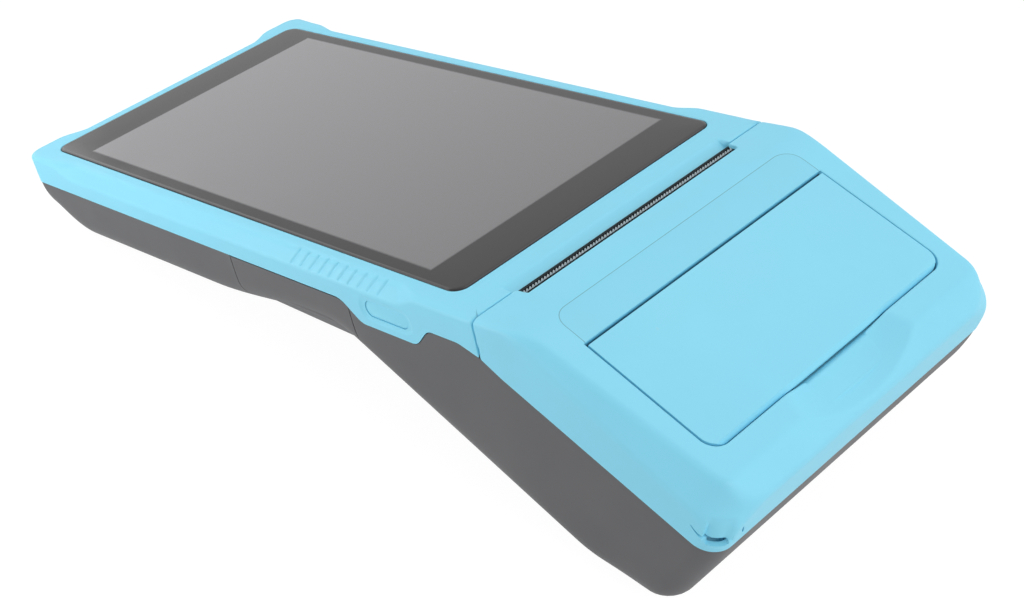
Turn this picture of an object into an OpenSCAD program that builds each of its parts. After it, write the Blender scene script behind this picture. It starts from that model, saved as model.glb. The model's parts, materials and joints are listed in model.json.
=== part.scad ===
// Hand-held terminal with a 58 mm thermal printer in its deep end.
// Sizes are worked out in the screen's frame: X across, Y from the paper slot towards the
// far end of the screen, Z up, zero on top of the glass at the glass edge next to the slot.
// stand() then tips everything on to the table. The origin is the middle of the flat foot.

/* [Body] */
// Width of the paper
paper_w = 58; // [56:0.5:60]
// Room beside the paper for the gears and the casing
side_room = 14; // [13.8:0.1:16]
// Wall thickness of the casings
wall = 2; // [1.6:0.1:2.4]
// Length of the casing beyond the glass
far_rim = 6.15; // [5.5:0.05:8]
// Depth of the screen part below the glass
slab_depth = 22; // [21.5:0.1:24]
// Depth of the printer part below the glass, above its foot
bulge_depth = 54; // [53.5:0.1:56]
// How much the top edge is drawn in along the hand grip
waist_in = 1.9; // [0.5:0.1:2.2]
// Depth of the blue casing's side
skirt_depth = 7; // [6.5:0.1:7.5]

/* [Screen] */
// Width of the casing's edge beside the glass
glass_side = 5.5; // [5:0.1:7]
// Length of the glass
glass_l = 143.75; // [138:0.25:150]
// Thickness of the glass
glass_t = 1.1; // [0.8:0.1:1.3]
// Dark border beside the lit area
lit_side = 3.5; // [2.8:0.1:5]
// Dark border at each end of the lit area
lit_end = 11.4; // [9:0.1:14]

/* [Lid] */
// Slope of the lid from the screen plane, in degrees
slope = 26.25; // [25.5:0.25:27]
// Height of the lid's end face
lid_h = 9.3; // [9:0.1:10]
// Clearance around the lid
lid_gap = 0.4; // [0.35:0.05:0.5]

/* [Lever plate] */
// Width of the lid's edge beside the lever plate
plate_side = 8.5; // [8.2:0.1:10]
// Length of the lever plate down the slope
plate_l = 30; // [28:0.5:30.5]
// Thickness of the lever plate
plate_t = 1.5; // [1.3:0.1:1.6]
// Gap along the plate's sides
plate_gap = 0.4; // [0.3:0.05:0.5]

/* [Printer] */
// Largest paper roll
roll_d = 38; // [34:1:38]
// Diameter of the rubber platen
platen_d = 9.2; // [8.6:0.1:9.4]
// Diameter of the platen's steel shaft
shaft_d = 3; // [2.5:0.1:3.4]
// Tooth module of the gears
gear_m = 0.5; // [0.5:0.01:0.52]
// Teeth on the platen's gear
platen_teeth = 22; // [20:1:22]
// Teeth on the idler
idler_teeth = 30; // [28:1:30]
// Teeth on the motor's pinion
pinion_teeth = 12; // [11:1:13]
// Diameter of the stepper motor
motor_d = 15; // [14:0.5:15]

/* [Side keys] */
// Length of a side key
key_l = 12.4; // [11:0.1:12.6]
// Height of a side key
key_h = 3.6; // [3:0.1:3.8]
// How far a side key goes in
key_travel = 0.8; // [0.5:0.1:0.9]

/* [Hidden] */
$fn = 64;

// Casing outline from the side
half_w = paper_w / 2 + side_room;
glass_w = 2 * (half_w - glass_side);
lit_w = glass_w - 2 * lit_side;
plate_w = 2 * (half_w - plate_side);
far_y = glass_l + far_rim;
top_z = -0.2;
bend_y = -21.64;
plate_top_y = -28.92;
plate_top_z = top_z + (plate_top_y - bend_y) * tan(slope);
plateau_t = -35.8;
end_t = -40.8;
ridge_n = -4.2;
seam_y = -8.8;
seam_gap = 0.2;
belly_slope = 27.5;
belly_y = -24;
belly_z = 3.2 - bulge_depth;
grip_z = 3 - slab_depth;
far_r = 13;
foot_y = -40;

// Tilt at which the foot and the far end both touch the table
far_c = [far_y - 1.3 - far_r, far_r - slab_depth];
foot_to_far = far_c - [foot_y, -bulge_depth];
tilt = atan2(foot_to_far[1], foot_to_far[0]) - asin(far_r / norm(foot_to_far));
foot_mid_y = -33.5;
foot_mid_z = -bulge_depth + (foot_mid_y - foot_y) * tan(tilt);

// Hinge of the lid, set in from the end face and above the parting line by the same step
hinge_in = 3.3;
part_n = ridge_n - lid_h;
hinge = on_slope(end_t + hinge_in, part_n + hinge_in);
rim_r = hinge_in * sqrt(2);
pin_r = 1;
run = 0.03;
lug_w = 3;
lug_x = half_w - 9;
lug_r = pin_r + 1.2;
lug_t = end_t + 10;

// Lever
lever_t = -2.6;
lever_n = -1.3;
lever_pin_r = 0.7;
lever = on_slope(lever_t, lever_n);
hook_w = 1.8;
hook_x = plate_w / 2 - hook_w - 0.5;
hook_l = 3.4;
hook_n = -12;

// Printer train, in the side view
platen = [-16.5, -9.3];
backlash = 0.08;
idler_dir = -65;
idler = platen + polar(gear_gap(platen_teeth, idler_teeth), idler_dir);
pinion_drop = belly_z + 22.7 - idler[1];
pinion_dir = asin(max(-0.6, pinion_drop / gear_gap(idler_teeth, pinion_teeth)));
motor = idler + polar(gear_gap(idler_teeth, pinion_teeth), pinion_dir);
chassis_t = 1.5;
plate_x = paper_w / 2 + 3;
gear_x = plate_x + chassis_t + 1.7;
gear_w = 3;
roll_c = on_slope(-15.4, -3.3 - roll_d / 2);
cheek_x = paper_w / 2 + 0.8;
cheek_t = 1.5;
roll_gap = 0.9;
bin_t = 1.2;
head_gap = 0.3;
head_y = platen[0] + platen_d / 2 + head_gap;
head_t = 1.2;
head_x = paper_w / 2 + 0.5;
sink_t = 2.8;
sink_x = head_x + 0.5;
spring_l = 5.1;

// Side keys
key_y = 17.1;
key_z = -7;
tab_z = -11.3;

// Battery bay
cover_y0 = 29.2;
cover_y1 = far_y - 81.5;

BLUE = [0.54, 0.84, 0.93];
GREY = [0.42, 0.42, 0.43];
DARK = [0.12, 0.12, 0.13];
STEEL = [0.72, 0.73, 0.75];

function polar(r, a) = [r * cos(a), r * sin(a)];
function unit(v) = v / norm(v);
function gear_gap(a, b) = gear_m * (a + b) / 2 + backlash;

// A point given along the lid's slope and square to it, as [y, z]
function on_slope(t, n) = [plate_top_y + t * cos(slope) - n * sin(slope),
    plate_top_z + t * sin(slope) + n * cos(slope)];

// Outlines are lists of [x, y, radius]. Each corner becomes an arc of its own radius.
function corner_arc(a, b, c, steps = 7) =
    let(u = unit([a[0] - b[0], a[1] - b[1]]), v = unit([c[0] - b[0], c[1] - b[1]]),
        half = acos(max(-1, min(1, u * v))) / 2)
    b[2] <= 0 || half > 89.5 ? [[b[0], b[1]]] :
    let(mid = [b[0], b[1]] + unit(u + v) * b[2] / sin(half),
        p = [b[0], b[1]] + u * b[2] / tan(half) - mid,
        q = [b[0], b[1]] + v * b[2] / tan(half) - mid,
        a0 = atan2(p[1], p[0]), turn = atan2(p[0] * q[1] - p[1] * q[0], p * q))
    [for (i = [0 : steps]) mid + polar(b[2], a0 + turn * i / steps)];
function rounded(path) = let(n = len(path))
    [for (i = [0 : n - 1]) each corner_arc(path[(i + n - 1) % n], path[i], path[(i + 1) % n])];

// The same outline moved inwards by d. Outlines run anticlockwise.
function inset(path, d) = let(n = len(path))
    [for (i = [0 : n - 1])
        let(a = path[(i + n - 1) % n], b = path[i], c = path[(i + 1) % n],
            u = unit([b[0] - a[0], b[1] - a[1]]), v = unit([c[0] - b[0], c[1] - b[1]]),
            n1 = [-u[1], u[0]], n2 = [-v[1], v[0]], left = u[0] * v[1] - u[1] * v[0] > 0,
            p = [b[0], b[1]] + d * (n1 + n2) / (1 + n1 * n2))
        [p[0], p[1], b[2] <= 0 ? 0 : max(0.3, left ? b[2] - d : b[2] + d)]];

// Involute gear: half the tooth's angle at radius r, then its outline
function inv(a) = tan(a) * 180 / PI - a;
function half_tooth(z, r) = let(rp = gear_m * z / 2, rb = rp * cos(20))
    90 / z - 2 + inv(20) - inv(acos(min(1, rb / r))) + (z > 20 ? 1.2 : 0);
function gear_outline(z, phase) =
    let(rp = gear_m * z / 2, radii = [for (k = [-1.2, -0.6, 0, 0.5, 0.95]) rp + k * gear_m])
    [for (i = [0 : z - 1], s = [-1, 1], k = [0 : 4])
        let(r = radii[s < 0 ? k : 4 - k])
        polar(r, phase + 360 * i / z + s * max(0.4, half_tooth(z, r)))];

module stand() {
    rotate([-tilt, 0, 0]) translate([0, -foot_mid_y, -foot_mid_z]) children();
}

// Pushes a side view, drawn as [y, z], through the casing from x0 to x1
module across(x0, x1) {
    translate([x0, 0, 0]) rotate([90, 0, 90]) linear_extrude(x1 - x0) children();
}

// Places parts drawn in the lid's slope frame
module sloped() {
    translate([0, plate_top_y, plate_top_z]) rotate([slope, 0, 0]) children();
}

module rod(p, r, x0, x1) {
    translate([x0, p[0], p[1]]) rotate([0, 90, 0]) cylinder(r = r, h = x1 - x0);
}

module block(x, y, z) {
    translate([x[0], y[0], z[0]]) cube([x[1] - x[0], y[1] - y[0], z[1] - z[0]]);
}

module both_sides() {
    children();
    mirror([1, 0, 0]) children();
}

// Side view of the whole casing, anticlockwise
function foot_z(y) = (y - foot_y) * tan(tilt) - bulge_depth;
function foot_corner() =
    let(p = on_slope(end_t, 0),
        n = (foot_z(p[0]) - p[1]) / (cos(slope) + sin(slope) * tan(tilt)))
    on_slope(end_t, n);
function belly_corner() =
    let(y = (foot_z(0) - belly_z + belly_y * tan(belly_slope)) / (tan(belly_slope) - tan(tilt)))
    [y, foot_z(y)];
grip_y = belly_y + (grip_z - belly_z) / tan(belly_slope);
casing_side = [
    [each foot_corner(), 12],
    [each belly_corner(), 14],
    [grip_y, grip_z, 10],
    [grip_y + 14, grip_z, 24],
    [grip_y + 40, -slab_depth, 30],
    [far_y - 1.3, -slab_depth, far_r],
    [far_y, top_z, 2],
    [bend_y, top_z, 20],
    [each on_slope(plateau_t, 0), 3],
    [each on_slope(end_t, ridge_n), 1.4]];

// Plan of the screen end, with its two proud corners, and of the lid end along the slope
ear_x = half_w - 9.5;
dip_x = half_w - 17;
dip = 2.7;
lid_corner = 9;
casing_plan = [
    [-half_w, -30, 0], [half_w, -30, 0],
    [half_w, far_y, 5], [ear_x, far_y, 6], [dip_x, far_y - dip, 8],
    [-dip_x, far_y - dip, 8], [-ear_x, far_y, 6], [-half_w, far_y, 5]];
lid_plan = [[-half_w, end_t, lid_corner], [half_w, end_t, lid_corner],
    [half_w, 40, 0], [-half_w, 40, 0]];

// Cross-section that rounds the lower edges
draft = 0.8;
function trough(r) = [[draft - half_w, 0, r], [half_w - draft, 0, r],
    [half_w, 2 * r, 30], [half_w, 80, 0], [-half_w, 80, 0], [-half_w, 2 * r, 30]];

// Long prism with that cross-section, its floor through the point p and rising at angle a
module trough_prism(p, a, r, d) {
    translate([0, p[0], p[1]]) rotate([a, 0, 0]) translate([0, 220, 0]) rotate([90, 0, 0])
        linear_extrude(440) polygon(rounded(inset(trough(r), d)));
}

// Plane cut along the lid's long edges. It grows from nothing at the bend.
module lid_bevel(d) {
    both_sides() sloped() translate([half_w, end_t + 8, -6]) rotate([5.4, 0, 0])
        rotate([0, 55, 0]) translate([-30, -60, -d]) cube([60, 150, 40]);
}

// The grip's inclined facet along the top edge, run out at both ends
waist_z = -3.4;
waist_lean = 24;
waist_cut = (waist_in - (top_z - waist_z) * tan(waist_lean)) * cos(waist_lean);
waist_y = [4, far_y - 12];
waist_run = 5.5;
module waist(d) {
    both_sides() translate([half_w - d, 0, waist_z]) rotate([0, -waist_lean, 0])
        linear_extrude(20) polygon([
            [waist_run, waist_y[0]], [waist_cut, waist_y[0] + waist_run],
            [-waist_cut, waist_y[0] + 2 * waist_run], [-waist_cut, waist_y[1] - 2 * waist_run],
            [waist_cut, waist_y[1] - waist_run], [waist_run, waist_y[1]]]);
}

// Finger scoop below the lever plate
module scoop() {
    sloped() translate([0, -31, 79.5]) sphere(r = 82, $fn = 180);
}

// The whole outside of the product, moved inwards by d
module casing(d = 0) {
    difference() {
        intersection() {
            across(-half_w, half_w) polygon(rounded(inset(casing_side, d)));
            union() {
                translate([0, 0, -80]) linear_extrude(100) polygon(rounded(inset(casing_plan, d)));
                sloped() translate([0, 0, -60]) linear_extrude(80)
                    polygon(rounded(inset(lid_plan, d)));
            }
            union() {
                trough_prism([0, -slab_depth], 0, 7, d);
                intersection() {
                    trough_prism([belly_y, belly_z], belly_slope, 8, d);
                    trough_prism([foot_y, -bulge_depth], tilt, 8, d);
                }
            }
        }
        lid_bevel(d);
        waist(d);
        if (d == 0) scoop();
    }
}

module skin() {
    difference() {
        casing(0);
        casing(wall);
    }
}

// Parting line between the blue and grey casings, from the far end to the printer end
parting = [
    [160, -skirt_depth, 0], [31.5, -skirt_depth, 5], [25.2, tab_z, 4], [10, tab_z, 2.5],
    [5.5, -skirt_depth, 3], [-3.5, -skirt_depth, 6], [seam_y, -8.4, 0],
    [each on_slope(10, part_n), 14], [each on_slope(-45, part_n), 0]];

// Side view of everything above the parting line, lowered by g
module above_parting(g = 0) {
    path = [[160, 40, 0], [-90, 40, 0], [-90, -45, 0], each [for (i = [8 : -1 : 0]) parting[i]]];
    across(-half_w - 1, half_w + 1) translate([0, -g]) polygon(rounded(path));
}

module front_of_seam() {
    block([-half_w - 1, half_w + 1], [seam_y + seam_gap / 2, far_y + 1], [-60, 20]);
}

module lid_zone() {
    block([-half_w - 1, half_w + 1], [-90, seam_y - seam_gap / 2], [-60, 20]);
}

// The slot: a trough on the screen side that slopes down to the paper gap
slot_w = paper_w + 6;
module slot_trough() {
    across(-slot_w / 2, slot_w / 2)
        polygon([[seam_y - 1, 2], [seam_y - 1, -2.3], [seam_y + 1.4, -1.5], [seam_y + 3.4, top_z],
            [seam_y + 3.4, 2]]);
}

boss_r = 2.7;
screw_r = 1;
screw_x = half_w - 5.8;
screw_at = [[screw_x, far_y - 15.9], [screw_x, 7]];
boss_z = -11;
well_z = -14;
well_r = 2.3;
ceiling_z = -8.4;
bay_x = half_w - wall - 2;
bay_end = 3.5;
cover_gap = 0.3;
module at_screws() {
    for (p = screw_at, s = [-1, 1]) translate([s * p[0], p[1], 0]) children();
}

// Side key: an oblong, drawn in the side view
module oblong(l, h) {
    translate([key_y, key_z]) {
        square([l - h, h], center = true);
        for (s = [-1, 1]) translate([s * (l - h) / 2, 0]) circle(d = h);
    }
}

// Reach of the battery cover along the casing, widened by g
module cover_zone(g = 0) {
    block([-half_w - 1, half_w + 1], [cover_y0 - g, cover_y1 + g], [-60, -skirt_depth - 0.3 + g]);
}

module rear_housing() {
    color(GREY) stand() {
        difference() {
            union() {
                difference() {
                    skin();
                    above_parting(0);
                    intersection() {
                        above_parting(lid_gap);
                        lid_zone();
                    }
                    cover_zone(cover_gap);
                    rod(hinge, rim_r + lid_gap, -half_w - 1, half_w + 1);
                }
                bay_ceiling();
                intersection() {
                    casing(wall / 2);
                    union() {
                        bay_ends();
                        screw_posts();
                        chassis_posts();
                    }
                }
                hinge_lugs();
            }
            rod(hinge, pin_r, -lug_x - lug_w, lug_x + lug_w);
            at_screws() translate([0, 0, -60]) {
                cylinder(r = well_r, h = 60 + well_z);
                cylinder(r = screw_r + 0.15, h = 60);
            }
            port_shape(half_w - port_l / 2, port_gap);
            speaker_holes();
        }
    }
}

// Ceiling of the battery bay, which joins the two ends of the housing
module bay_ceiling() {
    block([-bay_x, bay_x], [cover_y0 - bay_end, cover_y1 + bay_end], [ceiling_z - 1, ceiling_z]);
}

module bay_ends() {
    for (y = [cover_y0 - bay_end, cover_y1 + bay_end - wall])
        block([-bay_x, bay_x], [y, y + wall], [-40, ceiling_z]);
}

module screw_posts() {
    at_screws() translate([0, 0, -40]) cylinder(r = boss_r + 0.6, h = 40 + boss_z);
}

// Two lugs come from inside, so that the lid's rim can turn past them
module hinge_lugs() {
    arm = 0.92 * lug_r;
    lug = [lug_x - lug_w / 2, lug_x + lug_w / 2];
    foot = [lug_t, lug_t + lug_w];
    both_sides() {
        rod(hinge, lug_r, lug[0], lug[1]);
        intersection() {
            casing(wall / 2);
            sloped() {
                block(lug, [end_t + hinge_in, foot[1]],
                    [part_n + hinge_in - arm, part_n + hinge_in + arm]);
                block(lug, foot, [part_n - 2 * lug_w, part_n + hinge_in + arm]);
                block([lug[0], half_w], foot, [part_n - 2 * lug_w, part_n - lid_gap - 0.2]);
            }
        }
    }
}

// Posts that carry the print mechanism
post_w = 4;
module chassis_posts() {
    intersection() {
        casing(wall / 2);
        both_sides() for (y = [-21, 0])
            block([plate_x, plate_x + post_w], [y, y + post_w], [-bulge_depth, chassis_z]);
    }
}

// Charging port: a steel shell in a slot of the right side
port = [far_y - 65.9, -9.1];
port_w = 9;
port_h = 3.2;
port_t = 0.35;
port_gap = 0.2;
port_l = 10.5;
module port_shape(x, d) {
    w = port_w + 2 * d;
    h = port_h + 2 * d;
    translate([x, port[0], port[1]]) rotate([0, 90, 0]) linear_extrude(port_l) {
        square([h, w - h], center = true);
        for (s = [-1, 1]) translate([0, s * (w - h) / 2]) circle(d = h);
    }
}

speaker_y = far_y - 31.9;
speaker_r = 8.5;
speaker_h = 3.2;
module speaker_holes() {
    pitch = 0.35 * speaker_r;
    for (i = [-2 : 2], j = [-1 : 1]) translate([i * pitch, speaker_y + j * pitch, -slab_depth - 1])
        cylinder(r = 0.7, h = wall + 2, $fn = 24);
}

glass_gap = 0.1;
glass_ledge = 1.3;
window_x = glass_w / 2 - glass_ledge;
window_y = [5, glass_l - 5.75];
key_gap = 0.15;
key_deep = 6;
dish = 1.3;
module front_bezel() {
    color(BLUE) stand() {
        difference() {
            union() {
                intersection() {
                    skin();
                    above_parting(0);
                    front_of_seam();
                }
                intersection() {
                    casing(wall / 2);
                    union() {
                        at_screws() translate([0, 0, boss_z]) cylinder(r = boss_r, h = 10);
                        block([-half_w, half_w], [seam_y + seam_gap / 2, seam_y + 1.3], [-5, 0]);
                        key_guides();
                    }
                }
            }
            block([-glass_w / 2 - glass_gap, glass_w / 2 + glass_gap],
                [-glass_gap, glass_l + glass_gap], [-glass_t, 5]);
            block([-window_x, window_x], window_y, [-9, 5]);
            slot_trough();
            at_screws() translate([0, 0, boss_z - 1]) cylinder(r = screw_r, h = 8);
            both_sides() {
                across(half_w - 0.7, half_w + 2) oblong(key_l + 2 * dish, key_h + 1.6);
                across(half_w - key_deep, half_w + 2)
                    oblong(key_l + 2 * key_gap, key_h + 2 * key_gap);
            }
            ribs();
        }
    }
}

// Fine slanted grooves on the left grip
rib_count = 10;
rib_pitch = 3;
rib_w = 0.8;
rib_deep = 0.25;
rib_y = 17;
module ribs() {
    for (i = [0 : rib_count - 1])
        translate([-half_w + waist_in / 2, rib_y + i * rib_pitch, waist_z + 1.5])
            rotate([0, waist_lean, 0]) rotate([-35, 0, 0])
                cube([2 * rib_deep, rib_w, rib_w - waist_z], center = true);
}

// Four-sided guides around each key's stem
module key_guides() {
    both_sides() difference() {
        across(half_w - key_deep, half_w - 1) oblong(key_l + 3, key_h + 2.4);
        across(half_w - key_deep - 1, half_w)
            oblong(key_l + 2 * key_gap, key_h + 2 * key_gap);
    }
}

key_t = 3.05;
stem_end = half_w - key_deep - 0.6;
module key() {
    across(half_w - 0.35 - key_t, half_w - 0.35) oblong(key_l, key_h);
    across(stem_end, half_w - key_t) oblong(key_l - 5, key_h - 2);
}

module left_key() {
    color(BLUE) stand() mirror([1, 0, 0]) key();
}

module right_key() {
    color(BLUE) stand() key();
}

module cover_glass() {
    color(DARK) stand() translate([0, 0, -glass_t]) linear_extrude(glass_t) polygon(rounded([
        [-glass_w / 2, 0, 3], [glass_w / 2, 0, 3],
        [glass_w / 2, glass_l, 3], [-glass_w / 2, glass_l, 3]]));
}

display_t = 2.5;
display_side = 1.8;
display_end = 5.5;
glue = 0.05;
module display_module() {
    color(DARK) stand()
        block([-lit_w / 2 - display_side, lit_w / 2 + display_side],
            [lit_end - display_end, glass_l - lit_end + display_end],
            [-glass_t - glue - display_t, -glass_t - glue]);
}

// The board, and the stamped plate between it and the display
board_x = screw_x - boss_r - 1.3;
board_y = [window_y[0] - 1, window_y[1]];
board_z = -6;
board_t = 1.2;
frame_z = -glass_t - 2 * glue - display_t;
frame_y = [board_y[0] + 4, board_y[1] - 2];
frame_t = 0.8;
frame_bar = 14;
stand_off_r = 2;
module at_stand_offs(z) {
    for (x = [-1, 1] * (board_x - 5.2),
        y = [board_y[0] + 10, (board_y[0] + board_y[1]) / 2 + 1, board_y[1] - 7])
        translate([x, y, z]) children();
}

module display_frame() {
    opening_l = (frame_y[1] - frame_y[0] - 4 * frame_bar) / 3;
    opening_x = board_x - 0.8 * frame_bar;
    color(STEEL) stand() {
        difference() {
            block([-board_x, board_x], frame_y, [frame_z - frame_t, frame_z]);
            for (i = [0 : 2])
                translate([0, frame_y[0] + frame_bar + i * (opening_l + frame_bar), frame_z - 1])
                    linear_extrude(2) polygon(rounded([
                        [-opening_x, 0, 3], [opening_x, 0, 3],
                        [opening_x, opening_l, 3], [-opening_x, opening_l, 3]]));
        }
        at_stand_offs(board_z) cylinder(r = stand_off_r, h = frame_z - frame_t - board_z);
    }
}

module main_board() {
    color([0.1, 0.35, 0.22]) stand() difference() {
        block([-board_x, board_x], board_y, [board_z - board_t, board_z]);
        at_stand_offs(board_z - board_t - 1) cylinder(r = 0.55 * stand_off_r, h = board_t + 2);
    }
}

// Pressed-steel boxes soldered on the board, one line for each: X, Y, width and length
can_h = 2.4;
can_t = 0.4;
can_x = board_x - 6.2;
can_y = board_y[1] - 62;
cans = [
    [-can_x, can_y, 24, 22],
    [3, can_y, can_x - 5, 30],
    [-can_x, can_y + 26, 24, 18]];
module shield_cans() {
    color(STEEL) stand() for (c = cans)
        translate([c[0], c[1], board_z - board_t - can_h]) difference() {
            cube([c[2], c[3], can_h]);
            translate([can_t, can_t, can_t])
                cube([c[2] - 2 * can_t, c[3] - 2 * can_t, can_h]);
        }
}

battery_z = ceiling_z - 1.2;
battery_gap = 0.4;
battery_h = battery_z - grip_z - wall - battery_gap;
battery_x = bay_x - 8;
battery_y = [cover_y0 + 2.2, cover_y1 - 3];
module battery_pack() {
    color([0.2, 0.2, 0.22]) stand() translate([0, 0, battery_z - battery_h])
        linear_extrude(battery_h) polygon(rounded([
            [-battery_x, battery_y[0], 3], [battery_x, battery_y[0], 3],
            [battery_x, battery_y[1], 3], [-battery_x, battery_y[1], 3]]));
}

contact_w = 2.4;
contact_pitch = 8;
module battery_contacts() {
    color(STEEL) stand() for (i = [-1 : 1]) translate([i * contact_pitch, 0, battery_z])
        block([-contact_w / 2, contact_w / 2], [battery_y[1] + 0.1, cover_y1 + bay_end - wall],
            [-5, -2]);
}

cover_rib = 1.4;
module battery_cover() {
    color(GREY) stand() {
        difference() {
            intersection() {
                skin();
                cover_zone(0);
            }
            above_parting(cover_gap);
        }
        intersection() {
            casing(wall / 2);
            for (i = [-2 : 2]) translate([i * (battery_x - 9) / 2, 0, 0])
                block([-cover_rib / 2, cover_rib / 2], [battery_y[0] + 2.6, battery_y[1] - 2.4],
                    [-slab_depth, battery_z - battery_h - cover_gap]);
        }
    }
}

// Side plates, back wall and paper guide of the print mechanism
chassis_z = max(motor[1] - 5.5, belly_z + 17.8);
seat_r = shaft_d / 2 + 0.5;
motor_boss = 2.55;
bridge_x = plate_x + chassis_t / 2;
back_y = head_y + head_t + sink_t + spring_l;
guide_z = -17.6;
foot_bar = motor[0] + motor_d / 2 + 2;
module chassis_side() {
    difference() {
        polygon(rounded([[-23.5, chassis_z, 1], [4.2, chassis_z, 1],
            [foot_bar + chassis_t, chassis_z + 4.5, 2], [foot_bar + chassis_t, chassis_z + 13, 3],
            [back_y + chassis_t, -11, 3], [back_y + chassis_t, -6.5, 1], [-9, -6.5, 1],
            [-12, -9, 1], [-23.5, -9, 3]]));
        translate(platen) rotate(116) translate([0, -seat_r]) square([20, 2 * seat_r]);
        translate(platen) circle(r = seat_r);
        translate([-24, -15.8]) square([1.4, 3.2]);
    }
}

module mechanism_chassis() {
    color(STEEL) stand() difference() {
        union() {
            both_sides() across(plate_x, plate_x + chassis_t) chassis_side();
            block([-bridge_x, bridge_x], [back_y, back_y + chassis_t],
                [motor[1] + motor_d / 2 + 1, -6.5]);
            block([-bridge_x, bridge_x], [-17, -10.6], [guide_z, guide_z + 1.4]);
            block([-bridge_x, bridge_x], [foot_bar - 0.1, foot_bar - 0.1 + chassis_t],
                [chassis_z + 6, chassis_z + 12]);
        }
        rod(motor, motor_boss + 0.05, plate_x - 2, plate_x + 3);
        rod(idler, pin_r, plate_x - 2, plate_x + 3);
    }
}

module print_head() {
    color([0.88, 0.87, 0.82]) stand()
        block([-head_x, head_x], [head_y, head_y + head_t], [-15.8, -5]);
}

fin_pitch = sink_x / 7.9;
module head_heat_sink() {
    color([0.6, 0.61, 0.63]) stand() difference() {
        block([-sink_x, sink_x], [head_y + head_t, head_y + head_t + sink_t], [-16, -5.2]);
        for (i = [-7 : 7]) if (abs(i) != 4) translate([i * fin_pitch, head_y + head_t, 0])
            block([-fin_pitch / 4, fin_pitch / 4], [sink_t / 2, sink_t + 1], [-17, -5]);
    }
}

spring_r = 2.2;
module head_springs() {
    color(STEEL) stand() both_sides() translate([4 * fin_pitch, head_y + head_t + sink_t, -11])
        rotate([-90, 0, 0]) difference() {
            cylinder(r = spring_r, h = spring_l);
            translate([0, 0, -1]) cylinder(r = spring_r - 0.5, h = spring_l + 2);
        }
}

motor_x = [plate_x - 14.5, plate_x];
module stepper_motor() {
    color(STEEL) stand() difference() {
        union() {
            rod(motor, motor_d / 2, motor_x[0], motor_x[1]);
            rod(motor, motor_boss, motor_x[1], motor_x[1] + chassis_t);
        }
        rod(motor, pin_r + run, motor_x[0] + 2, motor_x[1] + 5);
    }
}

module motor_shaft() {
    color(STEEL) stand() rod(motor, pin_r, motor_x[0] + 2.5, gear_x + gear_w + 0.6);
}

module gear(p, teeth, phase, bore) {
    across(gear_x, gear_x + gear_w) translate(p) difference() {
        polygon(gear_outline(teeth, phase));
        circle(r = bore);
    }
}

// Tooth phases that put the three gears in mesh
idler_phase = idler_dir + 180 + 180 / idler_teeth;
idler_pitch = 360 / idler_teeth;
idler_off = (pinion_dir - idler_phase) % idler_pitch;
pinion_phase = pinion_dir + 180 + 180 / pinion_teeth + idler_off * idler_teeth / pinion_teeth;

module motor_pinion() {
    color("ivory") stand() gear(motor, pinion_teeth, pinion_phase, pin_r);
}

hub_r = pin_r + 1.4;
web_r = 0.573 * gear_m * idler_teeth / 2;
module idler_gear() {
    color("ivory") stand() difference() {
        union() {
            gear(idler, idler_teeth, idler_phase, pin_r + run);
            rod(idler, hub_r, plate_x + chassis_t + 0.3, gear_x + 0.01);
        }
        rod(idler, pin_r + run, plate_x, gear_x + gear_w + 1);
        for (a = [0 : 60 : 300])
            rod(idler + polar(web_r, a), web_r / 4, gear_x - 1, gear_x + gear_w + 1);
    }
}

clip_x = [gear_x + gear_w + 0.3, gear_x + gear_w + 0.9];
module idler_pin() {
    color(STEEL) stand() {
        rod(idler, pin_r, plate_x, clip_x[1]);
        rod(idler, pin_r + 0.9, clip_x[0], clip_x[1]);
    }
}

module platen_gear() {
    color("ivory") stand() gear(platen, platen_teeth, idler_dir, shaft_d / 2);
}

module platen_roller() {
    color(DARK) stand() difference() {
        rod(platen, platen_d / 2, -paper_w / 2, paper_w / 2);
        rod(platen, shaft_d / 2, -paper_w, paper_w);
    }
}

module platen_shaft() {
    color(STEEL) stand() rod(platen, shaft_d / 2, -plate_x - 1.8, gear_x + gear_w + 0.4);
}

bracket_x = [paper_w / 2 + 1, plate_x - 0.4];
bush_r = shaft_d / 2 + 1.1;
bracket_r = bush_r + 1.3;
module platen_bushes() {
    color("ivory") stand() both_sides() difference() {
        union() {
            rod(platen, bush_r, bracket_x[0], bracket_x[1]);
            rod(platen, bush_r + 0.7, bracket_x[0] - 0.5, bracket_x[0]);
        }
        rod(platen, shaft_d / 2 + run, 0, half_w);
    }
}

// Cheeks and front wall that hold the roll in the housing
module paper_bin() {
    color(GREY) stand() intersection() {
        casing(wall + 0.05);
        block([-half_w, half_w], [hinge[0] + rim_r + 1, 0], [-60, 0]);
        union() {
            both_sides() difference() {
                rod(roll_c, roll_d / 2 + roll_gap + bin_t, cheek_x, cheek_x + cheek_t);
                sloped() block([0, half_w], [-60, 60], [-7, 60]);
                block([0, half_w], [-17.3, 0], [guide_z - 1.4, 0]);
            }
            difference() {
                rod(roll_c, roll_d / 2 + roll_gap + bin_t, -cheek_x - cheek_t, cheek_x + cheek_t);
                rod(roll_c, roll_d / 2 + roll_gap, -cheek_x, cheek_x);
                block([-half_w, half_w], [-90, roll_c[0] + 6], [-60, 0]);
                block([-half_w, half_w], [-90, 0], [roll_c[1] + 6, 0]);
            }
        }
    }
}

module paper_sensor() {
    color(DARK) stand() block([-3, 3], [-15, -11], [guide_z - 2, guide_z]);
}

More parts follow.
